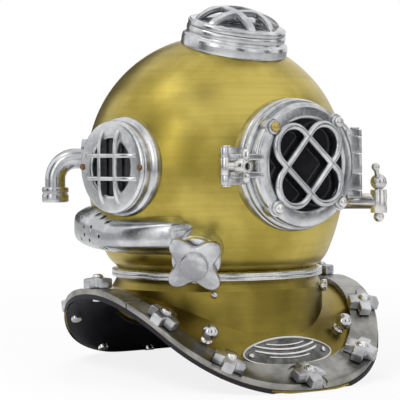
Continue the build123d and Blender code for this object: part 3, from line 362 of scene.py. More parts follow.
def rimmed_plate(name):
    """Dull antique plate with a brighter worn rim."""
    made = Finish(name)
    place = made.node(
        "ShaderNodeSeparateXYZ",
        None,
        {
            "Vector": made.coordinates(
                on_flap(0, plate_share), [1 / (half * MM) for half in (*plate_inner, 1)]
            )
        },
    )
    across, along = (Value(made, place.outputs[index]) for index in (0, 1))
    rim = made.between(across * across + along * along, 0.96, 1.06)
    cloud = made.noise(made.coordinates(helmet), 60, 4, 0.6)
    fine = made.noise(made.coordinates(helmet), 420, 3, 0.65)
    tone = made.blend(made.between(cloud, 0.35, 0.7), (0.1, 0.1, 0.097), (0.24, 0.24, 0.23))
    tone = made.blend(made.between(fine, 0.55, 0.75) * 0.5, tone, (0.4, 0.4, 0.39))
    tone = made.blend(rim, tone, (0.66, 0.66, 0.63))
    return made.surface(
        base_color=tone,
        metallic=1.0,
        roughness=0.44 + fine * 0.1 - rim * 0.2,
        normal=made.bump(fine + cloud * 0.4, 0.35, 0.0006),
    )


def black_lining(name):
    """Satin black sheet with a faint grain and dusty scuffs."""
    made = Finish(name)
    grain = made.noise(made.coordinates(helmet), 420, 3, 0.6)
    scuff = made.between(made.noise(made.coordinates(helmet), 18, 5, 0.65, 0.4), 0.5, 0.75)
    tone = made.blend(scuff * 0.6, (0.01, 0.009, 0.013), (0.03, 0.027, 0.036))
    return made.surface(
        base_color=tone,
        metallic=0.0,
        specular_ior_level=0.25,
        roughness=0.5 + scuff * 0.18 + grain * 0.08,
        normal=made.bump(grain, 0.12, 0.0004),
    )


def glass_painted_with_inner_shade(name):
    """Thick port glass, painted almost black and opaque for the shade of the dark helmet inside, with a faint film
    of dust.
    """
    made = Finish(name)
    film = made.between(made.noise(made.coordinates(helmet), 30, 5, 0.6), 0.45, 0.8)
    # Painted shade: the near-black glass colour stands in for the dark inside seen through clear glass; the
    # lighter film is dust
    tone = made.blend(film * 0.4, (0.008, 0.008, 0.01), (0.03, 0.03, 0.033))
    return made.surface(base_color=tone, metallic=0.0, roughness=0.05 + film * 0.12, ior=1.5)


def rusty_steel(name):
    """Old screw steel, brown with darker scale."""
    made = Finish(name)
    scale = made.noise(made.coordinates(helmet), 380, 5, 0.7)
    tone = made.node(
        "ShaderNodeValToRGB",
        {
            "stops": [
                (0.3, (0.03, 0.02, 0.015)),
                (0.5, (0.14, 0.06, 0.025)),
                (0.7, (0.3, 0.16, 0.08)),
            ]
        },
        {"Fac": scale},
    ).outputs[0]
    return made.surface(
        base_color=tone,
        metallic=0.4,
        roughness=0.6 + scale * 0.25,
        normal=made.bump(scale, 0.5, 0.0005),
    )


def rubber(name, dark, light):
    """Matt packing with a dusty bloom."""
    made = Finish(name)
    bloom = made.noise(made.coordinates(helmet), 90, 4, 0.6)
    tone = made.blend(bloom, dark, light)
    return made.surface(
        base_color=tone,
        metallic=0.0,
        roughness=0.6 + bloom * 0.25,
        normal=made.bump(bloom, 0.25, 0.0004),
    )


def build_finishes(sizes):
    """All finishes by the record's slot name."""
    # Each casting row: finish name, bright tone, darker tone for painted crevice shade and wear, roughness, grain
    castings = {
        "ring_metal": ("Turned ring metal", (0.7, 0.7, 0.7), (0.5, 0.5, 0.5), 0.16, 0.4),
        "strap_metal": ("Strap casting", (0.42, 0.41, 0.39), (0.22, 0.22, 0.21), 0.24, 1.2),
        "cast_fittings": ("Polished fittings", (0.72, 0.73, 0.74), (0.46, 0.47, 0.49), 0.12),
        "cast_nuts": ("Nut casting", (0.66, 0.67, 0.68), (0.36, 0.36, 0.38), 0.2, 1.8),
        "polished_metal": ("Bright turned parts", (0.82, 0.81, 0.79), (0.6, 0.6, 0.6), 0.08, 0.3),
        "spring_steel": ("Spring wire", (0.6, 0.6, 0.6), (0.4, 0.4, 0.4), 0.2, 0.3),
    }
    light, deep = tuple(sizes.brass_light), tuple(sizes.brass_deep)
    return {
        "bonnet_brass": brushed_brass(
            "Brushed bonnet brass", light, deep, (0.22, 0.17, 0.05), 0.24
        ),
        "flap_brass": brushed_brass(
            "Brushed breastplate brass", (0.38, 0.29, 0.06), (0.2, 0.15, 0.028),
            (0.1, 0.07, 0.015), 0.24,
        ),
        "inner_brass": brushed_brass(
            "Turned brass", (0.6, 0.46, 0.16), (0.42, 0.31, 0.1), (0.2, 0.14, 0.05), 0.18
        ),
        "plate_metal": rimmed_plate("Antique plate"),
        "black_lining": black_lining("Black lining"),
        "black_rubber": rubber("Black packing", (0.012, 0.012, 0.012), (0.04, 0.04, 0.04)),
        "leather": rubber("Leather washer", (0.07, 0.035, 0.016), (0.16, 0.09, 0.045)),
        "port_glass": glass_painted_with_inner_shade("Port glass"),
        "dark_screws": rusty_steel("Rusty screws"),
        **{slot: polished_casting_with_shade_and_wear(*values) for slot, values in castings.items()},
    }


finishes = {}


def begin():
    """Object mode with nothing selected."""
    if bpy.context.mode != "OBJECT":
        bpy.ops.object.mode_set(mode="OBJECT")
    bpy.ops.object.select_all(action="DESELECT")


def choose(test, kind="VERT"):
    """Selects in edit mode the vertices or faces that pass a test on their place."""
    piece = bpy.context.edit_object
    bpy.ops.mesh.select_all(action="DESELECT")
    bpy.ops.mesh.select_mode(type=kind)
    bpy.ops.object.mode_set(mode="OBJECT")
    if kind == "FACE":
        for face in piece.data.polygons:
            face.select = test(face)
    else:
        for vertex in piece.data.vertices:
            vertex.select = test(vertex.co)
    bpy.ops.object.mode_set(mode="EDIT")


def rounded(piece, width, segments=3, angle=35.0):
    """Rounds the piece's sharp edges and shades it smooth."""
    begin()
    piece.select_set(True)
    bpy.context.view_layer.objects.active = piece
    if width:
        bevel = piece.modifiers.new("Rounding", "BEVEL")
        bevel.width = width * MM
        bevel.segments = segments
        bevel.limit_method = "ANGLE"
        bevel.angle_limit = radians(angle)
        bevel.use_clamp_overlap = True
        bpy.ops.object.modifier_apply(modifier=bevel.name)
    bpy.ops.object.shade_smooth_by_angle(angle=radians(angle))
    return piece


def face_out():
    """Turns the edited piece's faces outward and leaves edit mode."""
    bpy.ops.mesh.select_all(action="SELECT")
    bpy.ops.mesh.normals_make_consistent(inside=False)
    bpy.ops.object.mode_set(mode="OBJECT")


def walled(piece, thickness):
    """Gives an open sheet its wall."""
    begin()
    piece.select_set(True)
    bpy.context.view_layer.objects.active = piece
    wall = piece.modifiers.new("Wall", "SOLIDIFY")
    wall.thickness = thickness * MM
    wall.offset = 0
    bpy.ops.object.modifier_apply(modifier=wall.name)
    return piece


def joined(name, pieces):
    """One object made of several."""
    begin()
    for piece in pieces:
        piece.select_set(True)
    bpy.context.view_layer.objects.active = pieces[0]
    if len(pieces) > 1:
        bpy.ops.object.join()
    pieces[0].name = name
    pieces[0].data.name = name
    return pieces[0]


def seat(piece, matrix):
    """Puts the piece's place into its mesh."""
    begin()
    piece.matrix_world = matrix @ piece.matrix_world
    piece.select_set(True)
    bpy.context.view_layer.objects.active = piece
    bpy.ops.object.transform_apply(location=True, rotation=True, scale=True)
    return piece


def dressed(piece, body, slot, *nodes):
    """Gives the piece its finish, the body it moves with and the solids it stands for."""
    piece.data.materials.clear()
    piece.data.materials.append(finishes[slot])
    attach(piece, body)
    if nodes:
        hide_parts(*nodes)
    return piece


def turned(name, profile, steps=96, closed=True, soft=0.0):
    """A lathe piece about z from (radius, height) points in millimetres."""
    begin()
    bpy.ops.mesh.primitive_plane_add(size=MM)
    piece = bpy.context.object
    piece.name = name
    bpy.ops.object.mode_set(mode="EDIT")
    bpy.ops.mesh.select_mode(type="VERT")
    bpy.ops.mesh.select_all(action="SELECT")
    bpy.ops.mesh.merge(type="CENTER")
    points = [Vector((radius, 0, height)) * MM for radius, height in profile]
    bpy.ops.transform.translate(value=points[0])
    for last, point in zip(points, points[1:]):
        bpy.ops.mesh.extrude_vertices_move(TRANSFORM_OT_translate={"value": point - last})
    if closed:
        ends = (points[0], points[-1])
        choose(lambda place: any((place - end).length < MM * 0.01 for end in ends))
        bpy.ops.mesh.edge_face_add()
    bpy.ops.mesh.select_all(action="SELECT")
    if soft:
        bpy.ops.mesh.bevel(offset=soft * MM, segments=2, affect="VERTICES")
        bpy.ops.mesh.select_all(action="SELECT")
    bpy.ops.mesh.spin(steps=steps, angle=2 * pi, center=(0, 0, 0), axis=(0, 0, 1))
    bpy.ops.mesh.select_all(action="SELECT")
    bpy.ops.mesh.remove_doubles(threshold=MM * 0.005)
    face_out()
    bpy.ops.object.shade_smooth_by_angle(angle=radians(32))
    return piece


def drum(name, radius, low, high, place=(0, 0), width=1.0, steps=48):
    """A short cylinder standing on a height, with rounded edges."""
    begin()
    centre = Vector((*place, (low + high) / 2)) * MM
    bpy.ops.mesh.primitive_cylinder_add(
        vertices=steps, radius=radius * MM, depth=(high - low) * MM, location=centre
    )
    piece = bpy.context.object
    piece.name = name
    seat(piece, Matrix.Identity(4))
    return rounded(piece, width)


def lug(name, radius, low, high, place, tail, width=1.2):
    """A drum with a straight tail along x, as of an ear or a hinge knuckle."""
    begin()
    centre = Vector((*place, (low + high) / 2)) * MM
    bpy.ops.mesh.primitive_cylinder_add(
        vertices=48, radius=radius * MM, depth=(high - low) * MM, location=centre
    )
    piece = bpy.context.object
    piece.name = name
    bpy.ops.object.mode_set(mode="EDIT")
    side = 1 if tail > 0 else -1
    choose(lambda point: side * point.x > MM * 0.1)
    bpy.ops.transform.resize(value=(0, 1, 1), center_override=centre)
    bpy.ops.transform.translate(value=(tail * MM, 0, 0))
    bpy.ops.object.mode_set(mode="OBJECT")
    seat(piece, Matrix.Identity(4))
    return rounded(piece, width)


def hinge_knuckle(name, step, tail):
    """One of the faceplate hinge's five knuckles, counted from below."""
    low = knuckle_edges[step] + knuckle_gap
    high = knuckle_edges[step + 1] - knuckle_gap
    return seat(lug(name, knuckle_radius, low, high, hinge_place, tail), helmet)


def softened(name, node, width=0.8, angle=32.0, segments=2):
    """A copy of a solid with its corners rounded as a casting's are."""
    begin()
    piece = frame["nodes"][node].copy()
    piece.data = frame["nodes"][node].data.copy()
    for key in list(piece.keys()):
        del piece[key]
    piece.parent = None
    piece.name = name
    bpy.context.scene.collection.objects.link(piece)
    piece.hide_render = False
    piece.hide_viewport = False
    piece.select_set(True)
    bpy.context.view_layer.objects.active = piece
    bpy.ops.object.mode_set(mode="EDIT")
    bpy.ops.mesh.select_all(action="SELECT")
    bpy.ops.mesh.remove_doubles(threshold=MM * 0.01)
    bpy.ops.mesh.dissolve_limited(angle_limit=radians(1.0))
    bpy.ops.object.mode_set(mode="OBJECT")
    return rounded(piece, width, segments, angle)


def guard_bar(name, length, width, low, depth):
    """A guard bar along y, round on top, that dips to the plate at its ends."""
    begin()
    bpy.ops.mesh.primitive_cube_add(size=1, location=(0, 0, 0))
    piece = bpy.context.object
    piece.name = name
    piece.scale = Vector((width, length, depth)) * MM
    bpy.ops.object.transform_apply(location=False, rotation=False, scale=True)
    bpy.ops.object.mode_set(mode="EDIT")
    bpy.ops.mesh.select_mode(type="EDGE")
    bpy.ops.mesh.select_all(action="DESELECT")
    bpy.ops.object.mode_set(mode="OBJECT")
    points = piece.data.vertices
    for edge in piece.data.edges:
        ends = [points[index].co for index in edge.vertices]
        edge.select = abs(ends[0].y - ends[1].y) > MM
    bpy.ops.object.mode_set(mode="EDIT")
    bpy.ops.mesh.subdivide(number_cuts=15)
    bpy.ops.object.mode_set(mode="OBJECT")
    for point in points:
        share = abs(point.co.y) / (length * MM / 2)
        if point.co.z > 0:
            point.co.z = (depth * (1 - 0.62 * share**5) - depth / 2) * MM
            point.co.x *= 0.72
    piece.location = (0, 0, (low + depth / 2) * MM)
    seat(piece, Matrix.Identity(4))
    return rounded(piece, 1.5, 3, 30)


def stadium_loop(name, radius, reach, wire, flat):
    """A round-sectioned loop with straight sides along x, as of the faceplate's guard."""
    begin()
    bpy.ops.mesh.primitive_torus_add(
        major_segments=62, minor_segments=14, major_radius=radius * MM, minor_radius=wire * MM
    )
    piece = bpy.context.object
    piece.name = name
    bpy.ops.object.mode_set(mode="EDIT")
    for side in (1, -1):
        choose(lambda point: side * point.x > 0)
        bpy.ops.transform.translate(value=(side * reach * MM, 0, 0))
    bpy.ops.mesh.select_all(action="SELECT")
    bpy.ops.transform.resize(value=(1, 1, flat))
    bpy.ops.object.mode_set(mode="OBJECT")
    bpy.ops.object.shade_smooth_by_angle(angle=radians(60))
    return piece


def make_side_ports():
    """Side port frames, guard plates with crossed bars, and screws."""
    for side, plane in sides.items():
        rim = turned(
            f"{side}_port_drum",
            [
                (34, 155), (55.6, 146.4), (59, 147), (59.4, 149.5), (59.4, 155.5), (58.2, 158.6),
                (55.6, 159.6), (54.4, 161), (54.8, 162.4), (54.9, 164), (54.9, 169), (54.2, 170.5),
                (52.4, 171), (38.2, 171), (38.2, 160.6), (34, 160.6),
            ],
            soft=0.35,
        )
        dressed(seat(rim, plane), "bonnet", "cast_fittings", f"{side}_port_frame")
        plate = turned(
            f"{side}_port_guard_plate",
            [
                (33.6, 171.3), (54.3, 171.3), (54.8, 172.4), (54.2, 174), (51.5, 175.2),
                (37, 176.1), (34.6, 175.6), (33.6, 174.4),
            ],
            soft=0.3,
        )
        bars = []
        for place in (-13.5, 13.5):
            for turn in (0, 90):
                bar = guard_bar("guard bar", 89, 6.6, 171.5, 11.8)
                move = Matrix.Translation((place * MM, 0, 0))
                bars.append(seat(bar, Matrix.Rotation(radians(turn), 4, "Z") @ move))
        guard = joined(f"{side}_port_guard_cast", [plate, *bars])
        dressed(seat(guard, plane), "bonnet", "cast_fittings", f"{side}_port_guard")
        screws = []
        for place in (-50, 50):
            screw = turned(
                "port screw",
                [
                    (0, 172), (2.6, 172), (2.6, 175.6), (3.8, 175.7), (3.6, 176.6),
                    (2.2, 177.4), (0, 177.7),
                ],
                24,
                closed=False,
            )
            screws.append(seat(screw, Matrix.Translation((place * MM, 0, 0))))
        pair = joined(f"{side}_port_screw_heads", screws)
        dressed(seat(pair, plane), "bonnet", "dark_screws", f"{side}_port_screws")


def make_top_port():
    """Top port drum and its domed guard."""
    drum_piece = turned(
        "top_port_drum",
        [
            (38, 153.5), (62, 144.8), (65, 146), (65.2, 149), (65.2, 156), (64.2, 159.4),
            (61.6, 161), (60.4, 162), (60, 163.6), (60.8, 165), (60.8, 169.4), (59.4, 171.6),
            (57, 172), (42.2, 172), (42.2, 161.6), (38, 161.6),
        ],
        soft=0.35,
    )
    dressed(seat(drum_piece, top), "bonnet", "cast_fittings", "top_port_frame")
    ring = turned(
        "top guard ring",
        [
            (42.4, 172.3), (58.6, 172.3), (59.6, 173.2), (59.4, 176), (57.6, 178.4),
            (54, 179.6), (46, 179.4), (42.4, 176.6),
        ],
        soft=0.3,
    )
    guard = softened("top_port_guard_cast", "top_port_guard", 1.6, 30, 3)
    guard = joined("top_port_guard_cast", [guard, seat(ring, top)])
    dressed(guard, "bonnet", "cast_fittings", "top_port_guard")


def make_front_port():
    """Front drum with its hinge knuckles and catch ears."""
    drum_piece = turned(
        "front drum",
        [
            (52, 149.4), (76, 137.2), (78.6, 139), (78.6, 151.4), (77.6, 153.6), (75.8, 154.4),
            (75.2, 155.4), (76, 156.6), (77.4, 157.2), (77.6, 159), (77.4, 161.8), (75.8, 163.8),
            (66.2, 164), (66.2, 161.7), (59.8, 161.7), (59.8, 164), (52, 164),
        ],
        128,
        soft=0.35,
    )
    pieces = [seat(drum_piece, front)]
    pieces += [hinge_knuckle("knuckle", step, -24) for step in (1, 3)]
    for sign in (1, -1):
        low = port_height + (10.4 if sign > 0 else -21.4)
        ear = lug("catch ear", 8, low, low + 11, (-97, -152), 24, 2)
        pieces.append(seat(ear, helmet))
    dressed(joined("front_port_casting", pieces), "bonnet", "cast_fittings", "front_port_frame")


def make_faceplate():
    """Faceplate ring with ears, knuckles and catch lug, its guard and bolts."""
    ring = turned(
        "faceplate ring",
        [
            (57.2, 164.5), (71.6, 164.5), (73, 165.6), (73, 173.6), (72.2, 175.6), (70.2, 176.4),
            (68.8, 177), (67.6, 178.2), (58, 178.4), (55.2, 177.8), (54, 176.4), (54, 175.5),
            (57.2, 175.5),
        ],
        128,
        soft=0.3,
    )
    ear_turns = [45 + 90 * step + 3 for step in range(4)]
    local = [ring]
    for turn in ear_turns:
        place = (67 * cos(radians(turn)), 67 * sin(radians(turn)))
        local.append(drum("faceplate ear", 10, 165, 178.2, place, 1.2))
    for sign in (1, -1):
        begin()
        bpy.ops.mesh.primitive_cube_add(size=1, location=(0, 0, 0))
        arm = bpy.context.object
        arm.scale = Vector((44, 7.5, 11)) * MM
        arm.location = Vector((-84, sign * 10.25, 172.9)) * MM
        local.append(rounded(seat(arm, Matrix.Identity(4)), 1.5))
    casting = [seat(piece, front) for piece in local]
    casting += [hinge_knuckle("door knuckle", step, -19) for step in (0, 2, 4)]
    dressed(joined("faceplate_casting", casting), "faceplate", "cast_fittings", "faceplate_ring")

    guard = []
    for turn in (48, 138):
        loop = stadium_loop("guard loop", 23.7, 32, 4.3, 0.92)
        move = Matrix.Rotation(radians(turn), 4, "Z")
        move.translation = Vector((0, 0, 182.6)) * MM
        guard.append(seat(loop, move))
    for turn in ear_turns:
        place = (66 * cos(radians(turn)), 66 * sin(radians(turn)))
        guard.append(drum("guard ear", 8.6, 178.6, 182.6, place, 1.4))
    guard = joined("faceplate_guard_cast", guard)
    dressed(seat(guard, front), "faceplate", "cast_fittings", "faceplate_guard")

    bolts = {"polished_metal": [], "inner_brass": []}
    for step, turn in enumerate(ear_turns):
        bolt = turned(
            "faceplate bolt",
            [
                (0, 166), (4, 166), (4, 182.7), (6.2, 182.8), (6.3, 183.8), (5.6, 185.4),
                (4, 186.6), (2, 187.3), (0, 187.5),
            ],
            32,
            closed=False,
        )
        place = Vector((67 * cos(radians(turn)), 67 * sin(radians(turn)), 0)) * MM
        finish = "inner_brass" if step == 1 else "polished_metal"
        bolts[finish].append(seat(bolt, Matrix.Translation(place)))
    heads = joined("faceplate_bolt_heads", bolts["polished_metal"])
    dressed(seat(heads, front), "faceplate", "polished_metal", "faceplate_bolts")
    odd = joined("faceplate_brass_bolt_head", bolts["inner_brass"])
    dressed(seat(odd, front), "faceplate", "inner_brass")


def make_catch():
    """Wing nut that clamps the faceplate's lug."""
    hub = turned(
        "wing hub",
        [
            (6.3, 178.8), (9.6, 178.8), (10, 179.8), (9.6, 185), (8.4, 190.2), (6.6, 192.2),
            (4.2, 192.4), (3.4, 191.2), (3.4, 188.4), (6.3, 188),
        ],
        40,
        soft=0.25,
    )
    wings = []
    for sign in (1, -1):
        begin()
        bpy.ops.mesh.primitive_uv_sphere_add(
            segments=32, ring_count=20, radius=1, location=(0, 0, 0)
        )
        wing = bpy.context.object
        wing.scale = Vector((3.0, 8.4, 7.2)) * MM
        bpy.ops.object.transform_apply(location=False, rotation=False, scale=True)
        bpy.ops.object.mode_set(mode="EDIT")
        choose(lambda point: sign * point.y < -2 * MM)
        bpy.ops.transform.resize(value=(1.2, 1, 0.5), center_override=(0, 0, 0))
        bpy.ops.object.mode_set(mode="OBJECT")
        bpy.ops.object.shade_smooth_by_angle(angle=radians(60))
        wing.location = Vector((0, sign * 11.4, 187.6)) * MM
        wings.append(seat(wing, Matrix.Identity(4)))
    nut = joined("catch_wing_nut_cast", [hub, *wings])
    move = Matrix.Translation(Vector((-97, 0, 0)) * MM)
    dressed(seat(nut, front @ move), "catch_nut", "polished_metal", "catch_wing_nut")


def make_exhaust():
    """Handwheel with four rounded lobes, the valve casting and its spring."""
    begin()
    bpy.ops.mesh.primitive_circle_add(vertices=144, radius=1, fill_type="NGON", location=(0, 0, 0))
    wheel = bpy.context.object
    wheel.name = "exhaust_handwheel_cast"
    for point in wheel.data.vertices:
        turn = atan2(point.co.y, point.co.x)
        petal = (0.5 + 0.5 * cos(4 * (turn - radians(40)))) ** 1.1
        reach = 21.5 + 17.3 * petal
        point.co = Vector((reach * cos(turn), reach * sin(turn), 190.2)) * MM
    bpy.ops.object.mode_set(mode="EDIT")
    bpy.ops.mesh.select_all(action="SELECT")
    bpy.ops.mesh.normals_make_consistent(inside=False)
    bpy.ops.mesh.extrude_region_move(TRANSFORM_OT_translate={"value": (0, 0, 8.8 * MM)})
    face_out()
    rounded(wheel, 2.2, 4, 40)
    hub = turned(
        "wheel hub",
        [
            (0, 185), (4.2, 185), (4.2, 178.2), (7.9, 178.2), (7.9, 191), (16.3, 191),
            (16.4, 203.6), (15.6, 205.2), (14, 205.8), (6, 206), (0, 206),
        ],
        64,
        closed=False,
    )
    wheel = joined("exhaust_handwheel_cast", [wheel, hub])
    dressed(seat(wheel, valve), "exhaust_wheel", "cast_nuts", "exhaust_handwheel")
    body = softened("exhaust_valve_casting", "exhaust_valve_body", 1.4, 35, 3)
    band = turned(
        "valve band",
        [(27.6, 170), (28.4, 170.6), (28.4, 179), (27.6, 179.6)],
        96,
        soft=0.2,
    )
    body = joined("exhaust_valve_casting", [body, seat(band, valve)])
    dressed(body, "bonnet", "cast_fittings", "exhaust_valve_body")
    spring = softened("exhaust_spring_coil", "exhaust_spring", 0.1, 60)
    dressed(spring, "bonnet", "spring_steel", "exhaust_spring")
    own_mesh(spring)


def make_goosenecks():
    """Gooseneck collars with a groove between two bands."""
    for side, azimuth in (("right", -neck_azimuth), ("left", neck_azimuth)):
        plane = facing(azimuth, neck_height)
        end = plane @ Matrix.Translation(Vector((0, -26 - 24, neck_reach)) * MM)
        end = end @ Matrix.Rotation(radians(-90), 4, "X")
        collar = turned(
            f"{side}_gooseneck_union",
            [
                (12.6, -4), (15.4, -4), (16.5, -3), (16.5, 5.2), (15.6, 6), (15.4, 6.8),
                (15.6, 7.6), (16.5, 8.4), (16.5, 13.4), (15.4, 14.8), (12.6, 15),
            ],
            64,
            soft=0.25,
        )
        dressed(seat(collar, end), "bonnet", "cast_fittings", f"{side}_gooseneck_collar")


def make_nuts():
    """Cross-shaped nuts with bosses, and the domed studs through them."""
    nuts = []
    studs = []
    for azimuth in stud_azimuths:
        place = on_flap(azimuth, edge_share(azimuth, brail_reach(azimuth) / 2))
        reach = 0.58 * brail_reach(azimuth)
        lobe = 0.4 * reach
        begin()
        bpy.ops.mesh.primitive_cube_add(size=1, location=(0, 0, 0))
        nut = bpy.context.object
        nut.scale = Vector((2 * lobe, 2 * lobe, 13.4)) * MM
        bpy.ops.object.transform_apply(location=False, rotation=False, scale=True)
        bpy.ops.object.mode_set(mode="EDIT")
        for across in (Vector((1, 0, 0)), Vector((0, 1, 0))):
            for sign in (1, -1):
                out = across * sign
                choose(
                    lambda face: face.normal.dot(out) > 0.9
                    and (face.center.xy - out.xy * lobe * MM).length < 0.1 * lobe * MM,
                    "FACE",
                )
                bpy.ops.mesh.extrude_region_move(
                    TRANSFORM_OT_translate={"value": out * (reach - lobe) * MM}
                )
                centre = out * reach * MM - Vector((0, 0, 6.7 * MM))
                bpy.ops.transform.resize(
                    value=(1 - 0.1 * abs(out.y), 1 - 0.1 * abs(out.x), 0.86), center_override=centre
                )
        bpy.ops.object.mode_set(mode="OBJECT")
        nut.location = (0, 0, (nut_seat + 0.3 + 6.7) * MM)
        seat(nut, Matrix.Identity(4))
        rounded(nut, 1.6, 3, 30)
        boss = turned(
            "nut boss",
            [(6.6, 12), (lobe + 0.8, 12), (lobe + 0.8, 19.4), (lobe - 0.4, 20.4), (6.6, 20.6)],
            40,
            soft=0.3,
        )
        nut = joined("nut", [nut, boss])
        nuts.append(seat(nut, place))
        stud = turned(
            "stud",
            [
                (0, -9), (6.2, -9), (6.5, -8.4), (6.5, 20.2), (6.1, 21.6), (5, 22.9),
                (3, 23.7), (0, 24),
            ],
            32,
            closed=False,
        )
        seat(stud, place)
        for point in stud.data.vertices:
            point.co.z = max(point.co.z, MM)
        studs.append(stud)
    dressed(joined("clamp_nuts", nuts), "breastplate", "cast_nuts", "brail_nuts")
    dressed(joined("stud_ends", studs), "breastplate", "polished_metal", "flap_studs")


def make_lining_edge():
    """Turned-up edge of the lining, all round the flap's own edge."""
    turns = 240
    begin()
    bpy.ops.mesh.primitive_cylinder_add(vertices=turns, radius=1, depth=2, end_fill_type="NOTHING")
    edge = bpy.context.object
    edge.name = "lining_edge"
    for point in edge.data.vertices:
        azimuth = degrees(atan2(point.co.x, -point.co.y))
        drop = 0.4 if point.co.z > 0 else 5.6
        share = 1.005
        while (helmet @ (flap_point(azimuth, share) * MM)).z < (drop + 0.6) * MM:
            share -= 0.005
        point.co = helmet @ ((flap_point(azimuth, share) - Vector((0, 0, drop))) * MM)
    walled(edge, 0.6)
    bpy.ops.object.mode_set(mode="EDIT")
    face_out()
    dressed(rounded(edge, 0), "breastplate", "black_lining")


def make_knobs():
    """Ball knobs on turned feet."""
    knobs = []
    for azimuth in (knob_azimuth, -knob_azimuth):
        ball = [
            (10 * cos(radians(angle)), 14.4 + 10 * sin(radians(angle)))
            for angle in range(-62, 91, 8)
        ]
        knob = turned(
            "knob",
            [(0, 0.5), (7.2, 0.5), (7.2, 1.6), (5.6, 2.6), (4.6, 3.6), *ball, (0, 24.4)],
            48,
            closed=False,
        )
        knobs.append(seat(knob, on_flap(azimuth, knob_share)))
    dressed(joined("ball_knobs", knobs), "breastplate", "polished_metal", "flap_knobs")


def make_nameplate():
    """Softened nameplate with plain raised bars bent to the flap, and its screws."""
    plate = softened("nameplate_sheet", "nameplate", 0.6)
    dressed(plate, "breastplate", "plate_metal", "nameplate")
    bars = []
    for share, span, height in ((0.09, 12, 1.6), (0.14, 19, 2.4), (0.2, 19, 2.4), (0.25, 12, 1.6)):
        begin()
        bpy.ops.mesh.primitive_grid_add(x_subdivisions=24, y_subdivisions=2, size=1)
        bar = bpy.context.object
        bar.name = "plate bar"
        for point in bar.data.vertices:
            azimuth = 2 * span * point.co.x
            spot = on_flap(azimuth, share, plate_face)
            point.co = spot @ Vector((0, point.co.y * height * MM, 0))
        bpy.ops.object.mode_set(mode="EDIT")
        face_out()
        bars.append(rounded(walled(bar, 0.7), 0.2, 2))
    dressed(joined("nameplate_bars", bars), "breastplate", "polished_metal")
    heads = []
    azimuth, share = plate_screw_spot
    for side in (1, -1):
        shank = drum("plate screw shank", 2, 0.4, plate_pad + 0.5, width=0)
        head = turned(
            "plate screw",
            [
                (0, plate_pad), (3.5, plate_pad), (3.5, plate_pad + 0.6), (2.6, plate_pad + 1.4),
                (1.2, plate_pad + 1.8), (0, plate_pad + 1.9),
            ],
            32,
            closed=False,
        )
        screw = joined("plate screw", [head, shank])
        heads.append(seat(screw, on_flap(side * azimuth, share)))
    heads = joined("nameplate_screw_heads", heads)
    dressed(heads, "breastplate", "polished_metal", "nameplate_screws")


def make_thumb_screw():
    """Knurled thumb screw on the neck of the bonnet."""
    knurls = 30
    begin()
    bpy.ops.mesh.primitive_cylinder_add(vertices=2 * knurls, radius=5.6 * MM, depth=7 * MM)
    screw = bpy.context.object
    screw.name = "thumb_screw"
    for index, point in enumerate(screw.data.vertices):
        if index // 2 % 2:
            point.co.x *= 0.92
            point.co.y *= 0.92
    rounded(screw, 0.3, 2, 60)
    seat(screw, Matrix.Translation((0, 0, 3.5 * MM)))
    shank = drum("thumb screw shank", 2.6, -8, 0.4, width=0)
    screw = joined("thumb_screw", [screw, shank])
    dressed(seat(screw, facing(54, 14, 122)), "bonnet", "polished_metal")


def softened_pieces():
    """Castings whose solids only need their corners rounded."""
    for node, body, slot, width in (
        ("bonnet_neck_ring", "bonnet", "ring_metal", 0.7),
        ("breastplate_neck_ring", "breastplate", "ring_metal", 0.7),
        ("exhaust_channel", "bonnet", "cast_fittings", 0.5),
        ("safety_latch", "latch", "polished_metal", 1.0),
        ("catch_eye_bolt", "bonnet", "polished_metal", 0.6),
        ("catch_pin", "bonnet", "polished_metal", 0.6),
        ("faceplate_hinge_pin", "bonnet", "polished_metal", 0.6),
        ("spitcock_body", "bonnet", "polished_metal", 0.8),
        ("brail_right_front", "breastplate", "strap_metal", 1.2),
        ("brail_left_front", "breastplate", "strap_metal", 1.2),
        ("brail_left_rear", "breastplate", "strap_metal", 1.2),
        ("brail_right_rear", "breastplate", "strap_metal", 1.2),
    ):
        dressed(softened(f"{node}_cast", node, width), body, slot, node)


def outward(azimuth, elevation):
    """Level direction at an azimuth from the front, raised by an elevation."""
    turn, lift = radians(azimuth), radians(elevation)
    return Vector((sin(turn) * cos(lift), -cos(turn) * cos(lift), sin(lift)))


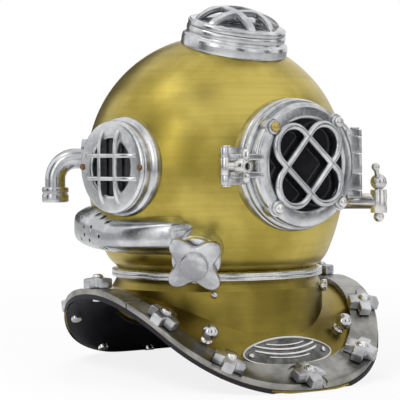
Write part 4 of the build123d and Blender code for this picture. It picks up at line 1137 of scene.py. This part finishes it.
def make_stage(sizes):
    """Floor, lamps, reflecting cards, world and camera."""
    scene = bpy.context.scene
    begin()
    bpy.ops.mesh.primitive_plane_add(size=sizes.floor_size, location=(0, 0, 0))
    floor = bpy.context.object
    floor.name = "studio_floor"
    made = Finish("Pale floor")
    path = made.node("ShaderNodeLightPath").outputs
    seen = made.between(
        Value(made, path["Is Camera Ray"]) + Value(made, path["Is Transmission Ray"]), 0.0, 1.0
    )
    shade = made.node("ShaderNodeBsdfDiffuse", None, {"Color": (0.5, 0.5, 0.5, 1)})
    glow = made.node("ShaderNodeEmission", None, {"Color": (1, 1, 1, 1), "Strength": 1.0})
    spot = made.coordinates(Matrix.Identity(4))
    away = made.node("ShaderNodeVectorMath", {"operation": "LENGTH"}, {0: spot})
    far = made.between(Value(made, away.outputs["Value"]), sizes.floor_near, sizes.floor_far)
    white = sizes.floor_glow + far * (1 - sizes.floor_glow)
    mixed = made.node("ShaderNodeMixShader", None, {0: seen * white})
    made.tree.links.new(shade.outputs[0], mixed.inputs[1])
    made.tree.links.new(glow.outputs[0], mixed.inputs[2])
    made.tree.links.new(mixed.outputs[0], made.output.inputs["Surface"])
    floor.data.materials.append(made.material)

    world = bpy.data.worlds.new("Studio")
    scene.world = world
    world.use_nodes = True
    tree = world.node_tree
    tree.nodes.clear()
    output = tree.nodes.new("ShaderNodeOutputWorld")
    plain, white = (tree.nodes.new("ShaderNodeBackground") for _ in range(2))
    for background, strength in ((plain, sizes.world_light), (white, 1.0)):
        background.inputs["Color"].default_value = (1, 1, 1, 1)
        background.inputs["Strength"].default_value = strength
    rays = tree.nodes.new("ShaderNodeLightPath")
    add = tree.nodes.new("ShaderNodeMath")
    add.operation = "ADD"
    tree.links.new(rays.outputs["Is Camera Ray"], add.inputs[0])
    tree.links.new(rays.outputs["Is Glossy Ray"], add.inputs[1])
    total = tree.nodes.new("ShaderNodeMath")
    total.operation = "ADD"
    total.use_clamp = True
    tree.links.new(add.outputs[0], total.inputs[0])
    tree.links.new(rays.outputs["Is Transmission Ray"], total.inputs[1])
    mix = tree.nodes.new("ShaderNodeMixShader")
    tree.links.new(total.outputs[0], mix.inputs[0])
    tree.links.new(plain.outputs[0], mix.inputs[1])
    tree.links.new(white.outputs[0], mix.inputs[2])
    tree.links.new(mix.outputs[0], output.inputs["Surface"])

    middle = helmet @ Vector((0, 0, 0.1))
    for name, azimuth, elevation, distance, size, power in (
        ("key", -70, 42, 1.6, 0.7, sizes.key_power),
        ("fill", 25, 30, 1.8, 0.9, sizes.key_power * 0.5),
        ("back", 150, 50, 1.7, 0.8, sizes.key_power * 0.5),
    ):
        out = outward(azimuth, elevation)
        lamp_data = bpy.data.lights.new(name, "AREA")
        lamp_data.shape = "DISK"
        lamp_data.size = size
        lamp_data.energy = power
        lamp = bpy.data.objects.new(name, lamp_data)
        scene.collection.objects.link(lamp)
        lamp.location = middle + out * distance
        lamp.rotation_euler = (-out).to_track_quat("-Z", "Y").to_euler()
        lamp.visible_glossy = False

    for name, azimuth, elevation, distance, width, height, tone in (
        ("bright strip", -78, 22, 2.6, 0.34, 1.7, 3.0),
        ("bright card above", -118, 55, 2.4, 0.6, 0.6, 3.0),
        ("bright strip low", 12, 28, 2.8, 0.16, 1.2, 2.2),
        ("dark card by the camera", -20, 8, 3.0, 0.8, 2.6, 0.05),
        ("narrow dark card", -58, 6, 3.0, 0.26, 2.6, 0.04),
        ("dark card on the wearer's left", 40, 8, 2.6, 0.6, 2.4, 0.05),
        ("dark card beside", 82, 8, 2.6, 0.8, 2.4, 0.05),
        ("dark card on the wearer's right", -106, 8, 2.6, 0.9, 2.4, 0.05),
        ("dark card at the back", 170, 12, 2.8, 1.6, 2.0, 0.08),
        ("dark card overhead", -60, 66, 2.4, 0.7, 0.5, 0.08),
    ):
        out = outward(azimuth, elevation)
        begin()
        bpy.ops.mesh.primitive_plane_add(size=1)
        card = bpy.context.object
        card.name = name.replace(" ", "_").replace("'", "")
        card.scale = (width, height, 1)
        card.location = middle + out * distance
        card.rotation_euler = out.to_track_quat("Z", "Y").to_euler()
        felt = Finish(name)
        glow = felt.node("ShaderNodeEmission", None, {"Color": (tone, tone, tone, 1)})
        felt.tree.links.new(glow.outputs[0], felt.output.inputs["Surface"])
        card.data.materials.append(felt.material)
        card.visible_camera = False
        card.visible_diffuse = False
        card.visible_shadow = False
        card.visible_transmission = False

    camera_data = bpy.data.cameras.new("camera")
    camera = bpy.data.objects.new("camera", camera_data)
    scene.collection.objects.link(camera)
    scene.camera = camera
    back = outward(sizes.view_azimuth, sizes.view_height)
    azimuth = radians(sizes.view_azimuth)
    right = Vector((cos(azimuth), sin(azimuth), 0))
    up = back.cross(right)
    roll = radians(sizes.view_roll)
    right, up = right * cos(roll) - up * sin(roll), up * cos(roll) + right * sin(roll)
    aim = right * sizes.view_aside + up * sizes.view_above
    local = Matrix((right, up, back)).transposed().to_4x4()
    local.translation = (aim + back * sizes.view_distance) * MM
    camera.matrix_world = helmet @ local
    camera_data.sensor_width = 36
    camera_data.lens = sizes.view_lens
    camera_data.clip_start = 0.05
    camera_data.clip_end = 50
    scene.view_settings.view_transform = "Standard"


class HelmetFinishes(bpy.types.PropertyGroup):
    """Colours of the brass."""

    brass_light: FloatVectorProperty(
        name="Light brass", description="Bright tone of the bonnet's brass", subtype="COLOR",
        size=3, default=(0.6, 0.48, 0.12), min=0, max=1,
    )
    brass_deep: FloatVectorProperty(
        name="Deep brass", description="Deep tone of the bonnet's brass", subtype="COLOR",
        size=3, default=(0.36, 0.28, 0.05), min=0, max=1,
    )


class HelmetStage(bpy.types.PropertyGroup):
    """Floor, lamps and camera."""

    floor_size: FloatProperty(
        name="Floor size", description="Width of the floor", default=14.0, unit="LENGTH"
    )
    floor_glow: FloatProperty(
        name="Floor white", description="Share of the floor that reads as white", default=0.85
    )
    floor_near: FloatProperty(
        name="Shadow ends", description="Distance at which the floor starts to whiten",
        default=0.35, unit="LENGTH",
    )
    floor_far: FloatProperty(
        name="White from", description="Distance from which the floor is white",
        default=1.1, unit="LENGTH",
    )
    world_light: FloatProperty(
        name="World light", description="Strength of the plain light all round", default=0.75
    )
    key_power: FloatProperty(
        name="Key power", description="Power of the main lamp", default=28.0, unit="POWER"
    )
    view_azimuth: FloatProperty(
        name="View azimuth", description="Turn of the camera from the front, in degrees",
        default=-36.0,
    )
    view_height: FloatProperty(
        name="View height", description="Camera above the ring's plane, in degrees", default=1.9
    )
    view_roll: FloatProperty(
        name="View roll", description="Camera roll, right side up, in degrees", default=0.5
    )
    view_aside: FloatProperty(
        name="Aim aside", description="Aim right of the rings' middle, in millimetres",
        default=-21.1,
    )
    view_above: FloatProperty(
        name="Aim above", description="Aim above the rings' middle, in millimetres", default=87.1
    )
    view_distance: FloatProperty(
        name="Camera distance", description="Camera from its aim, in millimetres", default=2500.0
    )
    view_lens: FloatProperty(
        name="Lens", description="Focal length in millimetres", default=181.4
    )


class HELMET_OT_finishes(bpy.types.Operator):
    """Make the finishes and lay them on the solids"""

    bl_idname = "helmet.finishes"
    bl_label = "Finishes"

    def execute(self, context):
        finishes.update(build_finishes(context.scene.helmet_finishes))
        slots = {row["node"]: row["material_slot"] for row in frame["record"]["subparts"]}
        for name, node in frame["nodes"].items():
            node.data.materials.clear()
            node.data.materials.append(finishes[slots[name]])
        return {"FINISHED"}


class HELMET_OT_side_ports(bpy.types.Operator):
    """Make the side ports with their guards and screws"""

    bl_idname = "helmet.side_ports"
    bl_label = "Side ports"

    def execute(self, context):
        make_side_ports()
        return {"FINISHED"}


class HELMET_OT_top_port(bpy.types.Operator):
    """Make the top port and its domed guard"""

    bl_idname = "helmet.top_port"
    bl_label = "Top port"

    def execute(self, context):
        make_top_port()
        return {"FINISHED"}


class HELMET_OT_front_port(bpy.types.Operator):
    """Make the front port with its knuckles and ears"""

    bl_idname = "helmet.front_port"
    bl_label = "Front port"

    def execute(self, context):
        make_front_port()
        return {"FINISHED"}


class HELMET_OT_faceplate(bpy.types.Operator):
    """Make the hinged faceplate with its guard, bolts and wing nut"""

    bl_idname = "helmet.faceplate"
    bl_label = "Faceplate"

    def execute(self, context):
        make_faceplate()
        make_catch()
        return {"FINISHED"}


class HELMET_OT_exhaust(bpy.types.Operator):
    """Make the exhaust valve and handwheel"""

    bl_idname = "helmet.exhaust"
    bl_label = "Exhaust"

    def execute(self, context):
        make_exhaust()
        return {"FINISHED"}


class HELMET_OT_goosenecks(bpy.types.Operator):
    """Make the gooseneck unions"""

    bl_idname = "helmet.goosenecks"
    bl_label = "Goosenecks"

    def execute(self, context):
        make_goosenecks()
        return {"FINISHED"}


class HELMET_OT_breastplate(bpy.types.Operator):
    """Make the clamp nuts, studs, knobs, nameplate, lining edge and thumb screw"""

    bl_idname = "helmet.breastplate"
    bl_label = "Breastplate fittings"

    def execute(self, context):
        make_nuts()
        make_knobs()
        make_nameplate()
        make_lining_edge()
        make_thumb_screw()
        return {"FINISHED"}


class HELMET_OT_castings(bpy.types.Operator):
    """Round the corners of the plain castings"""

    bl_idname = "helmet.castings"
    bl_label = "Castings"

    def execute(self, context):
        softened_pieces()
        return {"FINISHED"}


class HELMET_OT_stage(bpy.types.Operator):
    """Set the floor, lamps, world and camera"""

    bl_idname = "helmet.stage"
    bl_label = "Stage"

    def execute(self, context):
        make_stage(context.scene.helmet_stage)
        return {"FINISHED"}


operators = (
    HELMET_OT_stage,
    HELMET_OT_finishes,
    HELMET_OT_side_ports,
    HELMET_OT_top_port,
    HELMET_OT_front_port,
    HELMET_OT_faceplate,
    HELMET_OT_exhaust,
    HELMET_OT_goosenecks,
    HELMET_OT_breastplate,
    HELMET_OT_castings,
)


class HELMET_PT_panel(bpy.types.Panel):
    """The helmet's pieces in the order they are made"""

    bl_idname = "HELMET_PT_panel"
    bl_label = "Diving helmet"
    bl_space_type = "VIEW_3D"
    bl_region_type = "UI"
    bl_category = "Helmet"

    def draw(self, context):
        column = self.layout.column()
        column.prop(context.scene.helmet_finishes, "brass_light")
        column.prop(context.scene.helmet_finishes, "brass_deep")
        for operator in operators:
            column.operator(operator.bl_idname)


classes = (HelmetFinishes, HelmetStage, *operators, HELMET_PT_panel)


def register():
    for entry in classes:
        bpy.utils.register_class(entry)
    bpy.types.Scene.helmet_finishes = PointerProperty(type=HelmetFinishes)
    bpy.types.Scene.helmet_stage = PointerProperty(type=HelmetStage)


def unregister():
    del bpy.types.Scene.helmet_stage
    del bpy.types.Scene.helmet_finishes
    for entry in reversed(classes):
        bpy.utils.unregister_class(entry)


def main():
    """Runs every operator in order."""
    register()
    bpy.ops.helmet.stage()
    bpy.ops.helmet.finishes()
    bpy.ops.helmet.side_ports()
    bpy.ops.helmet.top_port()
    bpy.ops.helmet.front_port()
    bpy.ops.helmet.faceplate()
    bpy.ops.helmet.exhaust()
    bpy.ops.helmet.goosenecks()
    bpy.ops.helmet.breastplate()
    bpy.ops.helmet.castings()


if __name__ == "__main__":
    main()
